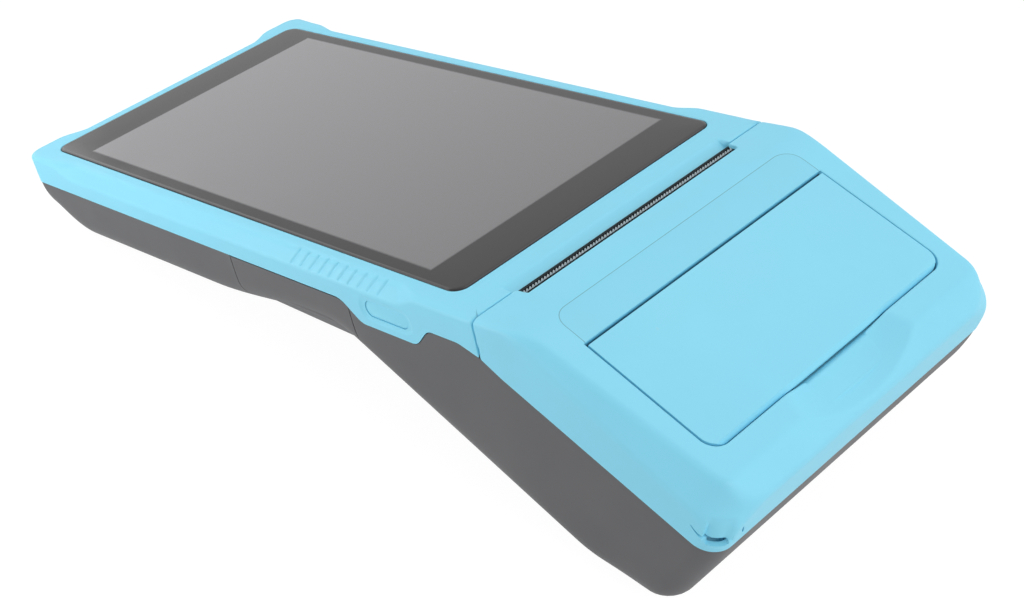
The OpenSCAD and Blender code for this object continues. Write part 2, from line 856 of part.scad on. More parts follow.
lid_front = seam_y - 1.1;
well_x = plate_w / 2 + plate_gap;
pan_x = plate_w / 2 + 2.5;
pin_end = plate_w / 2 + 2.2;
shaft_room = 5.6;
module paper_lid() {
    color(BLUE) stand() difference() {
        union() {
            difference() {
                intersection() {
                    skin();
                    above_parting(0);
                    lid_zone();
                }
                block([-slot_w / 2 + 1, slot_w / 2 - 1], [lid_front, 0], [-9, 5]);
            }
            intersection() {
                casing(0);
                rod(hinge, rim_r, -half_w, half_w);
            }
            intersection() {
                casing(wall / 2);
                lid_inside();
            }
        }
        lid_notches();
        sloped() {
            block([-well_x, well_x], [-plate_l - plate_gap, 0.3], [-plate_t - 0.3, 9]);
            block([-well_x, well_x], [-shaft_room, 0.3], [-9, 9]);
            both_sides() block([hook_x - 0.5, well_x], [-plate_l / 2, 0], [-9, -plate_t - 0.3]);
        }
        rod(hinge, pin_r + run, -half_w + 4, half_w - 4);
        rod(lever, lever_pin_r, -pin_end - 0.2, pin_end + 0.2);
        rod(platen, bush_r, -half_w + 4, half_w - 4);
        strap_eye();
    }
}

// What stands inside the lid's skin: the pan under the lever plate, the pads for the
// lever's pin, the scoop's floor, the platen's two brackets and the edge behind the slot
module lid_inside() {
    sloped() {
        block([-pan_x, pan_x], [-plate_l - 2.5, -shaft_room],
            [-plate_t - 1.5, -plate_t - 0.2]);
        both_sides() block([plate_w / 2, pin_end + 1.2], [-shaft_room, -0.4], [-3.2, -1]);
        block([-dip_x, dip_x], [-38, -26], [-4.6, -1.5]);
        block([-pan_x, pan_x], [0.3, 1.5], [-4.5, -1]);
    }
    both_sides() across(bracket_x[0], bracket_x[1]) {
        translate(platen) circle(r = bracket_r);
        translate(platen - [bracket_r, 0]) square([2 * bracket_r, 8]);
    }
    block([-slot_w / 2, slot_w / 2], [lid_front - 1.2, lid_front], [-4.4, -0.5]);
}

// Room in the round rim for the housing's lugs, through the whole opening angle
module lid_notches() {
    reach = lug_r + 0.35;
    both_sides() {
        rod(hinge, reach, lug_x - lug_w / 2 - lid_gap, lug_x + lug_w / 2 + lid_gap);
        sloped() block([lug_x - lug_w / 2 - lid_gap, lug_x + lug_w / 2 + lid_gap],
            [end_t + hinge_in - reach, lug_t + lug_w + 1],
            [part_n - 3 * lug_w, part_n + hinge_in + reach]);
    }
}

// Eye for a wrist strap: a curved passage round a post in the lid's corner
eye_r = 6.2;
eye_w = 3.5;
eye_h = 2.4;
eye_post = 1.1;
module strap_eye() {
    sloped() translate([lid_corner - half_w, end_t + lid_corner, part_n + lid_h / 2])
        difference() {
            rotate([0, 0, 180]) rotate_extrude(angle = 90) translate([eye_r, 0])
                square([eye_w, eye_h]);
            translate([-eye_r - 0.2, -eye_r - 0.2, -1]) cylinder(r = eye_post, h = eye_h + 2);
        }
}

tooth_pitch = 1.2;
bar_t = 0.4;
bar_z = [-4.4, -1.7, -0.8];
module tear_bar() {
    teeth = floor((slot_w - 4) / tooth_pitch);
    side = teeth * tooth_pitch / 2;
    color(STEEL) stand() translate([0, lid_front + bar_t, 0]) rotate([90, 0, 0])
        linear_extrude(bar_t) polygon([[-side, bar_z[0]], [side, bar_z[0]],
            each [for (i = [teeth : -1 : 1]) each [
                [i * tooth_pitch - side, bar_z[1]],
                [(i - 0.5) * tooth_pitch - side, bar_z[2]]]],
            [-side, bar_z[1]]]);
}

module lid_hinge_pin() {
    color(STEEL) stand() rod(hinge, pin_r, -lug_x - 4, lug_x + 4);
}

module lever_plate() {
    color(BLUE) stand() difference() {
        union() {
            sloped() translate([0, 0, -plate_t]) linear_extrude(plate_t) polygon(rounded([
                [-plate_w / 2, -plate_l, 3.5], [plate_w / 2, -plate_l, 3.5],
                [plate_w / 2, lever_t + 2.1, 0], [-plate_w / 2, lever_t + 2.1, 0]]));
            rod(lever, -lever_n, -plate_w / 2 + 0.2, plate_w / 2 - 0.2);
        }
        rod(lever, lever_pin_r + run, -half_w, half_w);
        sloped() translate([0, -plate_l, 0]) rotate([45, 0, 0]) cube([2 * half_w, 1.1, 1.1], center = true);
    }
}

module latch_hooks() {
    color(STEEL) stand() both_sides() difference() {
        sloped() {
            block([hook_x, hook_x + hook_w], [lever_t - hook_w, lever_t - hook_w + hook_l],
                [hook_n, -plate_t]);
            block([hook_x, hook_x + hook_w], [lever_t - hook_w, lever_t + 2.3],
                [hook_n, hook_n + hook_w]);
        }
        rod(lever, -lever_n + 0.02, 0, half_w);
    }
}

module lever_pin() {
    color(STEEL) stand() rod(lever, lever_pin_r, -pin_end, pin_end);
}

module key_switches() {
    color(DARK) stand() both_sides()
        block([board_x + 0.1, stem_end - key_travel - 0.2], [key_y - key_l / 4, key_y + key_l / 4],
            [key_z - 1.6, key_z + 1.6]);
}

module speaker() {
    color(DARK) stand() translate([0, speaker_y, wall - slab_depth]) {
        cylinder(r = speaker_r, h = speaker_h);
        cylinder(r = 0.7 * speaker_r, h = 1.25 * speaker_h);
    }
}

module charging_port() {
    color(STEEL) stand() difference() {
        port_shape(half_w - 1 - port_l, 0);
        port_shape(half_w + 2.5 - port_l, -port_t);
    }
}

head_h = 1.4;
module case_screws() {
    color(STEEL) stand() at_screws() {
        translate([0, 0, well_z - head_h]) difference() {
            cylinder(r = well_r - 0.4, h = head_h);
            for (a = [0, 90]) rotate(a) cube([well_r, well_r / 5, head_h], center = true);
        }
        translate([0, 0, well_z]) cylinder(r = screw_r, h = 8);
    }
}

rear_housing();
front_bezel();
cover_glass();
display_module();
display_frame();
main_board();
shield_cans();
battery_pack();
battery_contacts();
battery_cover();
mechanism_chassis();
print_head();
head_heat_sink();
head_springs();
stepper_motor();
motor_shaft();
motor_pinion();
idler_gear();
idler_pin();
platen_roller();
platen_shaft();
platen_gear();
platen_bushes();
paper_bin();
paper_sensor();
paper_lid();
tear_bar();
lid_hinge_pin();
lever_plate();
latch_hooks();
lever_pin();
left_key();
right_key();
key_switches();
speaker();
charging_port();
case_screws();
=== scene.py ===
import json
import math
import bmesh
import bpy
import numpy as np
from mathutils import Matrix, Vector


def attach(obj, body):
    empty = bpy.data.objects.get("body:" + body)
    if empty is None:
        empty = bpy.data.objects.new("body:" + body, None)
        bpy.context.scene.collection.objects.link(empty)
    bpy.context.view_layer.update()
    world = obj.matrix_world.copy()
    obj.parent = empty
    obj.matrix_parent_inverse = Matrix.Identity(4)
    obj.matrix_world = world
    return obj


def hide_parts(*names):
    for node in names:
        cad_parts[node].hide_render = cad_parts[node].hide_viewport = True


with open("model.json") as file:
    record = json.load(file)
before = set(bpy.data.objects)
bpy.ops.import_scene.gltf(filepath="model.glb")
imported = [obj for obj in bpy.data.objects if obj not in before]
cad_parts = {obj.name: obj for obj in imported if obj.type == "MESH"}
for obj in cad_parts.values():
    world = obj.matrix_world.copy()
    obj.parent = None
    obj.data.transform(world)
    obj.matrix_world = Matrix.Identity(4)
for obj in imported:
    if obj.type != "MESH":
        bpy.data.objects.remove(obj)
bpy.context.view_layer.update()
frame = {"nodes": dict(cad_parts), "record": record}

join, stack = np.concatenate, np.stack
print("frame loaded:", len(frame["nodes"]), "nodes")

# Shapes are written in millimetres in the screen's own frame: x across, y from the paper slot
# towards the far end, z up from the glass. toWorld() tips them on to the table, in metres.
mm = 0.001
stand = {"tilt": math.radians(10.26107367639745), "midY": -33.5, "midZ": -52.823311}
tiltCos, tiltSin = math.cos(stand["tilt"]), math.sin(stand["tilt"])


def toWorld(p):  # moves the middle of the foot to the origin, then turns by minus the tilt about x
    y, z = p[..., 1] - stand["midY"], p[..., 2] - stand["midZ"]
    return stack([p[..., 0], tiltCos * y + tiltSin * z, tiltCos * z - tiltSin * y], -1) * mm


def fromWorld(w):  # the same, backwards
    y, z = w[..., 1] * 1000, w[..., 2] * 1000
    return stack([w[..., 0] * 1000, tiltCos * y - tiltSin * z + stand["midY"],
        tiltSin * y + tiltCos * z + stand["midZ"]], -1)


def placeObject(name, data):
    obj = bpy.data.objects.new(name, data)
    bpy.context.scene.collection.objects.link(obj)
    return obj


def addNode(tree, kind, links=None, **values):
    # a node whose sockets are set from links (socket: source), and its properties from values
    node = tree.nodes.new("ShaderNode" + kind)
    for key, value in values.items():
        setattr(node, key, value)
    for key, source in (links or {}).items():
        if hasattr(source, "is_output"):
            tree.links.new(source, node.inputs[key])
        else:
            node.inputs[key].default_value = source
    return node


def addMath(tree, operation, a, b=0.0, clamp=False):
    return addNode(tree, "Math", {0: a, 1: b}, operation=operation, use_clamp=clamp).outputs[0]


def product(tree, a, b, clamp=False):
    return addMath(tree, "MULTIPLY", a, b, clamp)


def addRamp(tree, source, low, high, to0=0.0, to1=1.0):
    return addNode(tree, "MapRange", {"Value": source, "From Min": low, "From Max": high,
        "To Min": to0, "To Max": to1}).outputs["Result"]


def mixColours(tree, factor, a, b):
    return addNode(tree, "Mix", {"Factor": factor, "A": a, "B": b},
        data_type="RGBA").outputs["Result"]


def scaleColour(tree, colour, by):
    return addNode(tree, "VectorMath", {0: colour, 1: by}, operation="MULTIPLY").outputs[0]


# camera, fitted to the corners of the glass
view = {"place": (-0.20326, -0.14612063, 0.23935043),
        "turn": ((0.697646, 0.481362, -0.530643), (-0.713268, 0.397005, -0.577612),
                 (-0.067373, 0.781459, 0.620308)),
        "camera": {"lens": 60.156, "sensor_width": 36, "shift_x": 0.02188, "shift_y": 0.00508,
                   "clip_start": 0.01}}
cam = placeObject("camera", bpy.data.cameras.new("camera"))
for key, value in view["camera"].items():
    setattr(cam.data, key, value)
cam.matrix_world = Matrix.Translation(view["place"]) @ Matrix(view["turn"]).to_4x4()
bpy.context.scene.camera = cam
bpy.context.scene.view_settings.view_transform = "Standard"

# studio: a fill that is stronger from the side given by fillFrom, four lamps (power, size, place)
# and a pale floor
studio = {"fillFrom": (0.53, -0.7, 0.48), "fillRange": (0.14, 0.87), "aim": (0, 0.05, 0.03),
        "floorHalf": 3, "floorWhite": 0.74, "floorRough": 0.9, "floorGlow": 0.85, "glow": 1.12,
        "lamps": {"rightLamp": (1.45, 0.6, (0.5, 0.2, 0.9)),
                  "farLeftLamp": (0.62, 0.24, (-0.32, 0.30, 0.10)),
                  "frontLamp": (2.0, 0.5, (0.0, -0.8, 0.45)),
                  "backLamp": (1.4, 0.6, (0.0, 0.9, 0.4))}}


def backgroundShare(tree):  # 1 for rays from the camera, from gloss and through glass
    rays = addNode(tree, "LightPath").outputs
    either = addMath(tree, "MAXIMUM", rays["Is Camera Ray"], rays["Is Glossy Ray"])
    return addMath(tree, "MAXIMUM", either, rays["Is Transmission Ray"])


def makeSky():
    world = bpy.data.worlds.new("studio")
    bpy.context.scene.world = world
    world.use_nodes = True
    tree = world.node_tree
    tree.nodes.clear()
    around = addNode(tree, "TexCoord").outputs["Generated"]
    facing = addNode(tree, "VectorMath", {0: around, 1: studio["fillFrom"]},
        operation="DOT_PRODUCT").outputs["Value"]
    strength = addRamp(tree, facing, -1.0, 1.0, *studio["fillRange"])
    fill = addNode(tree, "Background", {"Color": (1, 1, 1, 1), "Strength": strength})
    white = addNode(tree, "Background", {"Color": (1, 1, 1, 1), "Strength": 1.0})
    both = addNode(tree, "MixShader", {0: backgroundShare(tree), 1: fill.outputs[0],
        2: white.outputs[0]})
    addNode(tree, "OutputWorld", {"Surface": both.outputs[0]})


def addLamp(name, power, size, at):
    data = bpy.data.lights.new(name, "AREA")
    data.energy = power
    data.size = size
    lamp = placeObject(name, data)
    lamp.location = at
    lamp.rotation_euler = (Vector(studio["aim"]) - Vector(at)).to_track_quat("-Z", "Y").to_euler()
    lamp.visible_camera = False


def makeFloor():
    h = studio["floorHalf"]
    mesh = bpy.data.meshes.new("floor")
    mesh.from_pydata([(-h, -h, 0), (h, -h, 0), (h, h, 0), (-h, h, 0)], [], [(0, 1, 2, 3)])
    placeObject("floor", mesh)
    paint = bpy.data.materials.new("floorPaint")
    paint.use_nodes = True
    mesh.materials.append(paint)
    tree = paint.node_tree
    matt = tree.nodes["Principled BSDF"]
    matt.inputs["Base Color"].default_value = (*[studio["floorWhite"]] * 3, 1)
    matt.inputs["Roughness"].default_value = studio["floorRough"]
    # the camera, and what mirrors the floor, sees it nearly white, with the shadow still in it
    glow = addNode(tree, "Emission", {"Strength": studio["glow"]})
    share = product(tree, backgroundShare(tree), studio["floorGlow"])
    both = addNode(tree, "MixShader", {0: share, 1: matt.outputs[0], 2: glow.outputs[0]})
    tree.links.new(both.outputs[0], tree.nodes["Material Output"].inputs["Surface"])


makeSky()
for name, lamp in studio["lamps"].items():
    addLamp(name, *lamp)
makeFloor()
print("studio ready:", len(studio["lamps"]), "lamps")


def makeGroup(name, inputs, outputs):
    # a shader group with (name, value) float inputs, and (name, socket type) outputs
    g = bpy.data.node_groups.new(name, "ShaderNodeTree")
    for label, value in inputs:
        socket = g.interface.new_socket(label, in_out="INPUT", socket_type="NodeSocketFloat")
        socket.default_value = value
    for label, kind in outputs:
        g.interface.new_socket(label, in_out="OUTPUT", socket_type="NodeSocket" + kind)
    return g, g.nodes.new("NodeGroupInput").outputs, g.nodes.new("NodeGroupOutput").inputs


def makeGrain():
    # eroded grain of a moulded surface: small bumps, with a roughness that wanders a little
    g, given, out = makeGroup("mouldGrain", [("Scale", 2200.0), ("Depth", 0.12), ("Size", 0.00003)],
        [("Normal", "Vector"), ("Grain", "Float"), ("Cloud", "Float")])
    place = addNode(g, "TexCoord").outputs["Object"]
    fine = addNode(g, "TexNoise", {"Vector": place, "Scale": given["Scale"], "Detail": 2.0,
        "Roughness": 0.6}).outputs["Fac"]
    cells = addNode(g, "TexVoronoi", {"Vector": place, "Scale": given["Scale"]},
        feature="SMOOTH_F1").outputs["Distance"]
    grain = addMath(g, "ADD", product(g, fine, 0.6),
        product(g, cells, 0.4))
    cloud = addNode(g, "TexNoise", {"Vector": place, "Scale": 45.0, "Detail": 4.0,
        "Roughness": 0.55}).outputs["Fac"]
    bump = addNode(g, "Bump", {"Height": grain, "Strength": given["Depth"],
        "Distance": given["Size"]}).outputs["Normal"]
    for label, source in (("Normal", bump), ("Grain", grain), ("Cloud", cloud)):
        g.links.new(source, out[label])
    return g


def makeWear():
    # hairline scratches in two directions, rare specks of dust and rubbed edges, all as masks
    g, given, out = makeGroup("fineWear", [("Scratches", 0.3), ("Dust", 0.3)],
        [("Scratch", "Float"), ("Speck", "Float"), ("Rub", "Float")])
    place = addNode(g, "TexCoord").outputs["Object"]
    lines = []
    for angle, start in ((0.5, 1.0), (2.2, 7.0)):
        turned = addNode(g, "Mapping", {"Vector": place, "Rotation": (0.2, 0.1, angle),
            "Location": (start, 0, 0), "Scale": (900.0, 26.0, 26.0)})
        noise = addNode(g, "TexNoise", {"Vector": turned.outputs[0], "Scale": 1.0, "Detail": 1.0})
        lines.append(addRamp(g, noise.outputs["Fac"], 0.70, 0.76))
    patch = addNode(g, "TexNoise", {"Vector": place, "Scale": 22.0, "Detail": 2.0}).outputs["Fac"]
    both = product(g, addMath(g, "MAXIMUM", *lines), addRamp(g, patch, 0.46, 0.62))
    scratch = product(g, both, given["Scratches"], True)
    spots = addNode(g, "TexVoronoi", {"Vector": place, "Scale": 230.0}, feature="F1")
    small = addRamp(g, spots.outputs["Distance"], 0.05, 0.10, 1.0, 0.0)
    hue = addNode(g, "SeparateColor", {"Color": spots.outputs["Color"]}).outputs["Red"]
    rare = product(g, small, addRamp(g, hue, 0.93, 0.95))
    speck = product(g, rare, given["Dust"], True)
    edge = addRamp(g, addNode(g, "NewGeometry").outputs["Pointiness"], 0.53, 0.62)
    rub = product(g, edge, addRamp(g, patch, 0.4, 0.6))
    for label, source in (("Scratch", scratch), ("Speck", speck), ("Rub", rub)):
        g.links.new(source, out[label])
    return g


grainGroup, wearGroup = makeGrain(), makeWear()

# finishes: colour and roughness as they look on the whole, metal, grain size (bumps a metre) and
# its depth (0-1), how far roughness and lightness wander, and how much the wear shows
finishKeys = ("colour", "rough", "metal", "grain", "deep", "spread", "tint", "scratch", "dust",
        "rub")
finishRows = {
    "blue_shell": ((0.248, 0.712, 0.912), 0.50, 0, 2600, 0.10, 0.06, 0.02, 0.05, 0.10, 0.10),
    "grey_shell": ((0.096, 0.097, 0.102), 0.56, 0, 2300, 0.16, 0.08, 0.05, 0.12, 0.35, 0.25),
    "dark_plastic": ((0.022, 0.022, 0.024), 0.5, 0, 1900, 0.2, 0.08, 0.1, 0.2, 0.4, 0.3),
    "steel": ((0.55, 0.56, 0.58), 0.32, 1, 3000, 0.06, 0.12, 0.05, 0.6, 0.1, 0.3),
    "aluminium": ((0.70, 0.71, 0.73), 0.42, 1, 3200, 0.1, 0.1, 0.05, 0.5, 0.1, 0.3),
    "circuit_board": ((0.012, 0.085, 0.040), 0.38, 0, 1500, 0.1, 0.08, 0.15, 0.1, 0.3, 0.2),
    "battery_wrap": ((0.030, 0.036, 0.052), 0.28, 0, 600, 0.25, 0.1, 0.1, 0.4, 0.2, 0.3),
    "gold_contact": ((0.80, 0.58, 0.22), 0.26, 1, 2500, 0.05, 0.08, 0.04, 0.5, 0.0, 0.2),
    "ceramic": ((0.74, 0.72, 0.66), 0.26, 0, 2500, 0.05, 0.06, 0.03, 0.2, 0.1, 0.1),
    "gear_plastic": ((0.78, 0.75, 0.66), 0.44, 0, 2200, 0.12, 0.08, 0.05, 0.2, 0.3, 0.2),
    "platen_rubber": ((0.020, 0.020, 0.021), 0.82, 0, 3400, 0.4, 0.08, 0.15, 0.1, 0.5, 0.4),
    "tear_bar": ((0.60, 0.64, 0.66), 0.45, 0, 2500, 0.1, 0.08, 0.05, 0.3, 0.2, 0.3),
    # painted shadow: near-black paint for the slot's strips, so that they read as a shaded gap
    "slot_dark": ((0.004, 0.010, 0.013), 0.7, 0, 1900, 0.2, 0.05, 0.1, 0.0, 0.0, 0.0),
}
finish = {name: dict(zip(finishKeys, row)) for name, row in finishRows.items()}
dustColour = (0.62, 0.61, 0.59, 1.0)
paints = {}


def startPaint(name):
    paint = bpy.data.materials.new(name)
    paint.use_nodes = True
    paints[name] = paint
    return paint.node_tree, paint.node_tree.nodes["Principled BSDF"]


def addEffects(tree, grain, wear):  # the two groups with their own values
    return (addNode(tree, "Group", grain, node_tree=grainGroup).outputs,
        addNode(tree, "Group", wear, node_tree=wearGroup).outputs)


def wander(tree, grain, middle, by):  # a value that follows the grain's cloud
    return addRamp(tree, grain["Cloud"], 0.3, 0.7, middle - by, middle + by)


def joinPaint(tree, body, colour, rough, normal):
    tree.links.new(colour, body.inputs["Base Color"])
    tree.links.new(rough, body.inputs["Roughness"])
    tree.links.new(normal, body.inputs["Normal"])


def addFinish(tree, body, f, colour=None):
    # colour: the clean colour, lightened by rub and dust; roughness: base, cloud and scratches
    grain, wear = addEffects(tree, {"Scale": f["grain"], "Depth": f["deep"]},
        {"Scratches": f["scratch"], "Dust": f["dust"]})
    plain = scaleColour(tree, colour or f["colour"], wander(tree, grain, 1.0, f["tint"]))
    pale = (*[min(1.0, c * 1.25 + 0.05) for c in f["colour"]], 1.0)
    worn = addMath(tree, "MAXIMUM", product(tree, wear["Rub"], f["rub"], True),
        product(tree, wear["Scratch"], 0.5))
    dusty = mixColours(tree, wear["Speck"], mixColours(tree, worn, plain, pale), dustColour)
    rough = addMath(tree, "SUBTRACT", wander(tree, grain, f["rough"], f["spread"]),
        product(tree, wear["Scratch"], 0.2), True)
    joinPaint(tree, body, dusty, rough, grain["Normal"])
    body.inputs["Metallic"].default_value = f["metal"]


for name, f in finish.items():
    addFinish(*startPaint(name), f)
# painted shadow: the slot's strips get little specular as well, so that they stay dark
slotSheen = 0.2  # the paper slot is nearly black, so that it reads as a gap
slotBody = paints["slot_dark"].node_tree.nodes["Principled BSDF"]
slotBody.inputs["Specular IOR Level"].default_value = slotSheen


def casingAxes(tree):
    # x and y of the screen's own frame, in metres from the middle of the foot
    place = addNode(tree, "TexCoord").outputs["Object"]
    turned = addNode(tree, "VectorRotate", {"Vector": place, "Angle": stand["tilt"]},
        rotation_type="X_AXIS")
    parts = addNode(tree, "SeparateXYZ", {0: turned.outputs[0]}).outputs
    return parts[0], parts[1]


def pastSpan(tree, value, mid, half):  # how far a value is past mid plus or minus half
    gap = addMath(tree, "ABSOLUTE", addMath(tree, "SUBTRACT", value, mid) if mid else value)
    return addMath(tree, "SUBTRACT", gap, half)


# cover glass: a dark printed border, and a display area inside it that is painted paler towards the
# far end, a painted reflection of the bright surroundings that the glass shows more of there
screenLook = {
    "border": (0.007, 0.006, 0.008), "display": (0.180, 0.178, 0.185), "sheenGain": 1.45,
    "sheenSpan": (0.045, 0.166), "rough": 0.16, "smudge": 0.08, "halfWide": 0.0340, "near": 0.0114,
    "far": 0.13235, "blend": 0.0003, "deep": 0.01, "scratch": 0.05, "specks": 0.05,
    "speckColour": (0.7, 0.7, 0.7, 1), "ior": 1.5
}


def paintGlass():
    s = screenLook
    tree, body = startPaint("cover_glass")
    x, y = casingAxes(tree)
    mid = (s["near"] + s["far"]) / 2 - stand["midY"] * mm
    past = addMath(tree, "MAXIMUM", pastSpan(tree, x, 0, s["halfWide"]),
        pastSpan(tree, y, mid, (s["far"] - s["near"]) / 2))
    inDisplay = addRamp(tree, past, -s["blend"], s["blend"], 1, 0)
    grain, wear = addEffects(tree, {"Depth": s["deep"]},
        {"Scratches": s["scratch"], "Dust": s["specks"]})
    # painted reflection: the display colour is brightened towards the far end
    displayWithSheen = scaleColour(tree, s["display"], addRamp(tree, y, *s["sheenSpan"], 1.0, s["sheenGain"]))
    shade = mixColours(tree, inDisplay, (*s["border"], 1), displayWithSheen)
    dusty = mixColours(tree, wear["Speck"], shade, s["speckColour"])
    joinPaint(tree, body, dusty, wander(tree, grain, s["rough"], s["smudge"]), grain["Normal"])
    body.inputs["IOR"].default_value = s["ior"]


paintGlass()
slotOf = {s["node"]: s["material_slot"] for s in frame["record"]["subparts"]}
for name, obj in frame["nodes"].items():
    obj.data.materials.clear()
    obj.data.materials.append(paints[slotOf[name]])

# the lid's paint: a hair-thin joint runs on from the lever plate's sides over the bend and across
# the lid, and what it encloses is painted a shade darker than the lid, a painted shade for the
# strip's different slope
inlay = {
    "half": 0.0345, "y0": -0.0300, "y1": -0.0208, "spare": 0.03, "corner": 0.0038,
    "width": 0.00011, "line": 0.55, "inside": 0.965, "fadeIn": 0.0006, "soft": 0.0001
}


def paintLid():
    s = inlay
    f = finish["blue_shell"]
    tree, body = startPaint("lid_blue")
    x, y = casingAxes(tree)
    # distance from a rounded rectangle: length of (|p - centre| - half size + corner), less corner
    mid = (s["y0"] - s["spare"] + s["y1"]) / 2 - stand["midY"] * mm
    half = (s["y1"] - s["y0"] + s["spare"]) / 2
    squares = []
    for gap in (pastSpan(tree, x, 0, s["half"] - s["corner"]),
            pastSpan(tree, y, mid, half - s["corner"])):
        gap = addMath(tree, "MAXIMUM", gap, 0.0)
        squares.append(product(tree, gap, gap))
    length = addMath(tree, "SQRT", addMath(tree, "ADD", *squares))
    dist = addMath(tree, "SUBTRACT", length, s["corner"])
    start = s["y0"] - stand["midY"] * mm
    ahead = addRamp(tree, y, start, start + s["fadeIn"])
    hair = addRamp(tree, addMath(tree, "ABSOLUTE", dist), s["width"] * 0.4, s["width"], 1, 0)
    line = product(tree, hair, ahead)
    # painted shade: the area inside the joint is darkened by the inside factor
    shadeInside = product(tree, addRamp(tree, dist, -s["soft"], 0.0, 1, 0), ahead)
    shade = addMath(tree, "SUBTRACT", 1.0, product(tree, line, 1 - s["line"]))
    shade = product(tree, shade, addRamp(tree, shadeInside, 0, 1, 1.0, s["inside"]))
    addFinish(tree, body, f, scaleColour(tree, f["colour"], shade))


paintLid()
print("made", len(paints), "materials")


# the casing's outside as one function: depth(p) is about the distance from p to the outside,
# minus inside and plus outside. It blends the planes and arcs below, and the lid, the bezel and
# the grey housing are all cut from it. Values that end in Round say how wide a blend is.
casing = {
    "halfWidth": 43.0, "topZ": -0.2, "slope": 26.25, "creaseY": -28.92, "creaseZ": -3.79,
    "bendRound": 2.1, "plateauEnd": -35.8, "ridgeTurn": (-0.643, 0.766), "ridgeRound": 0.8,
    "lidEnd": -40.8, "heelLean": 40.0, "heelOut": 68.35, "endRound": 1.5, "footTilt": 10.261,
    "footY": -40.0, "footZ": -54.0, "footRound": 0.9, "bellySlope": 27.5, "bellyY": -24.0,
    "bellyZ": -50.8, "bellyRound": 2.4, "gripZ": -19.0, "slabZ": -22.0, "gripStart": 45,
    "gripRun": 37, "drawIn": 0.8, "drawInHeight": 14, "creaseLow": 3.4, "creaseNear": 1.1,
    "facetLean": 0.766, "facetRound": 0.35, "bevelTurn": (0.819, 0.574), "bevelRound": 0.6,
    "bevelStart": -33, "bevelDrop": 6.0, "bevelRise": 0.095, "cornerTop": 8.5, "cornerLow": 5.0,
    "farY": 149.62, "farDip": 2.7, "farRound": 3.6, "topRound": 1.0, "lowRound": 7.5,
    "lowNear": -1.2, "lowFar": 5.5
}
slopeAngle = math.radians(casing["slope"])
slopeSin, slopeCos = math.sin(slopeAngle), math.cos(slopeAngle)


def softMax(a, b, k):  # the larger of two, blended over a band of width k
    h = np.clip(k - np.abs(a - b), 0, None) / k
    return np.maximum(a, b) + h * h * k / 4


def softMin(a, b, k):
    return -softMax(-a, -b, k)


def roundMax(a, b, r):  # two sides that meet in an arc of radius r
    arc = np.hypot(np.clip(a + r, 0, None), np.clip(b + r, 0, None))
    return np.minimum(np.maximum(a, b), -r) + arc


def ease(u):  # runs smoothly from 0 to 1
    u = np.clip(u, 0, 1)
    return u * u * (3 - 2 * u)


def alongSlope(p):  # distance up the lid's slope, and height above it
    dy, dz = p[..., 1] - casing["creaseY"], p[..., 2] - casing["creaseZ"]
    return dy * slopeCos + dz * slopeSin, dz * slopeCos - dy * slopeSin


def fromSlope(x, t, n):
    return stack([x, casing["creaseY"] + t * slopeCos - n * slopeSin,
        casing["creaseZ"] + t * slopeSin + n * slopeCos], -1)


def slopeWay(x, t, n):  # a direction given in the slope's frame
    return fromSlope(x, t, n) - fromSlope(0 * x, 0 * t, 0 * n)


def creaseAt(y):  # how far the grip's inclined facet reaches below the glass
    c = casing
    grown = ease((y - 7) / 7) * ease((139 - y) / 9)
    low = c["creaseNear"] + (c["creaseLow"] - c["creaseNear"]) * grown
    return low * ease((y + 18) / 12) * ease((150 - y) / 10)


def topOf(t, n, z):  # top plane, bent into the lid's plateau, then the ridge facet
    c = casing
    bent = softMax(z - c["topZ"], n, c["bendRound"])
    ridge = c["ridgeTurn"][0] * (t - c["plateauEnd"]) + c["ridgeTurn"][1] * n
    return softMax(bent, ridge, c["ridgeRound"])


def undersideOf(y, z):  # flat foot, inclined belly, hollow grip that falls to the slab
    c = casing
    foot = (y - c["footY"]) * math.tan(math.radians(c["footTilt"])) + c["footZ"] - z
    belly = c["bellyZ"] + (y - c["bellyY"]) * math.tan(math.radians(c["bellySlope"])) - z
    fall = (c["gripZ"] - c["slabZ"]) * ease((y - c["gripStart"]) / c["gripRun"])
    hollow = softMin(belly * 0.887, c["gripZ"] - fall - z, c["bellyRound"])
    return softMax(foot * 0.984, hollow, c["footRound"])


def sideOf(x, y, z, t, n, under):  # nearly upright, drawn in a little towards the underside
    c = casing
    near = ease(1 + under / c["drawInHeight"])
    side = x - c["halfWidth"] + c["drawIn"] * near * near
    facet = x - c["halfWidth"] + (z + creaseAt(y)) * c["facetLean"]
    side = softMax(side, facet / math.hypot(1, c["facetLean"]), c["facetRound"])
    rise = n + c["bevelDrop"] - c["bevelRise"] * (t - c["bevelStart"])
    bevel = (x - c["halfWidth"]) * c["bevelTurn"][0] + rise * c["bevelTurn"][1]
    return softMax(side, bevel, c["bevelRound"])


def depth(p):
    x, y, z = np.abs(p[..., 0]), p[..., 1], p[..., 2]
    t, n = alongSlope(p)
    c = casing
    under = undersideOf(y, z)
    lean = math.radians(c["heelLean"])
    heel = -math.cos(lean) * y - math.sin(lean) * z - c["heelOut"]
    end = softMax(c["lidEnd"] - t, heel, c["endRound"])
    corner = c["cornerLow"] + (c["cornerTop"] - c["cornerLow"]) * ease((n + 10.5) / 7)
    wall = roundMax(sideOf(x, y, z, t, n, under), end, corner)
    dip = c["farDip"] * (1 - ease((x - 26) / 7.5)) * ease((z + 17) / 9)
    wall = roundMax(wall, y - c["farY"] + dip - 0.06 * z - 0.01, c["farRound"])
    body = softMax(topOf(t, n, z), wall, c["topRound"])
    nearEnd, farEnd = ease((-t - 22) / 18), ease((y - 132) / 16)
    return roundMax(body, under, c["lowRound"] + c["lowNear"] * nearEnd + c["lowFar"] * farEnd)


def slopeOf(shape, p, step=0.03):  # direction in which a shape function grows fastest
    g = stack([shape(p + d) - shape(p - d) for d in np.eye(3) * step], -1)
    return g / np.maximum(np.linalg.norm(g, axis=-1, keepdims=True), 1e-9)


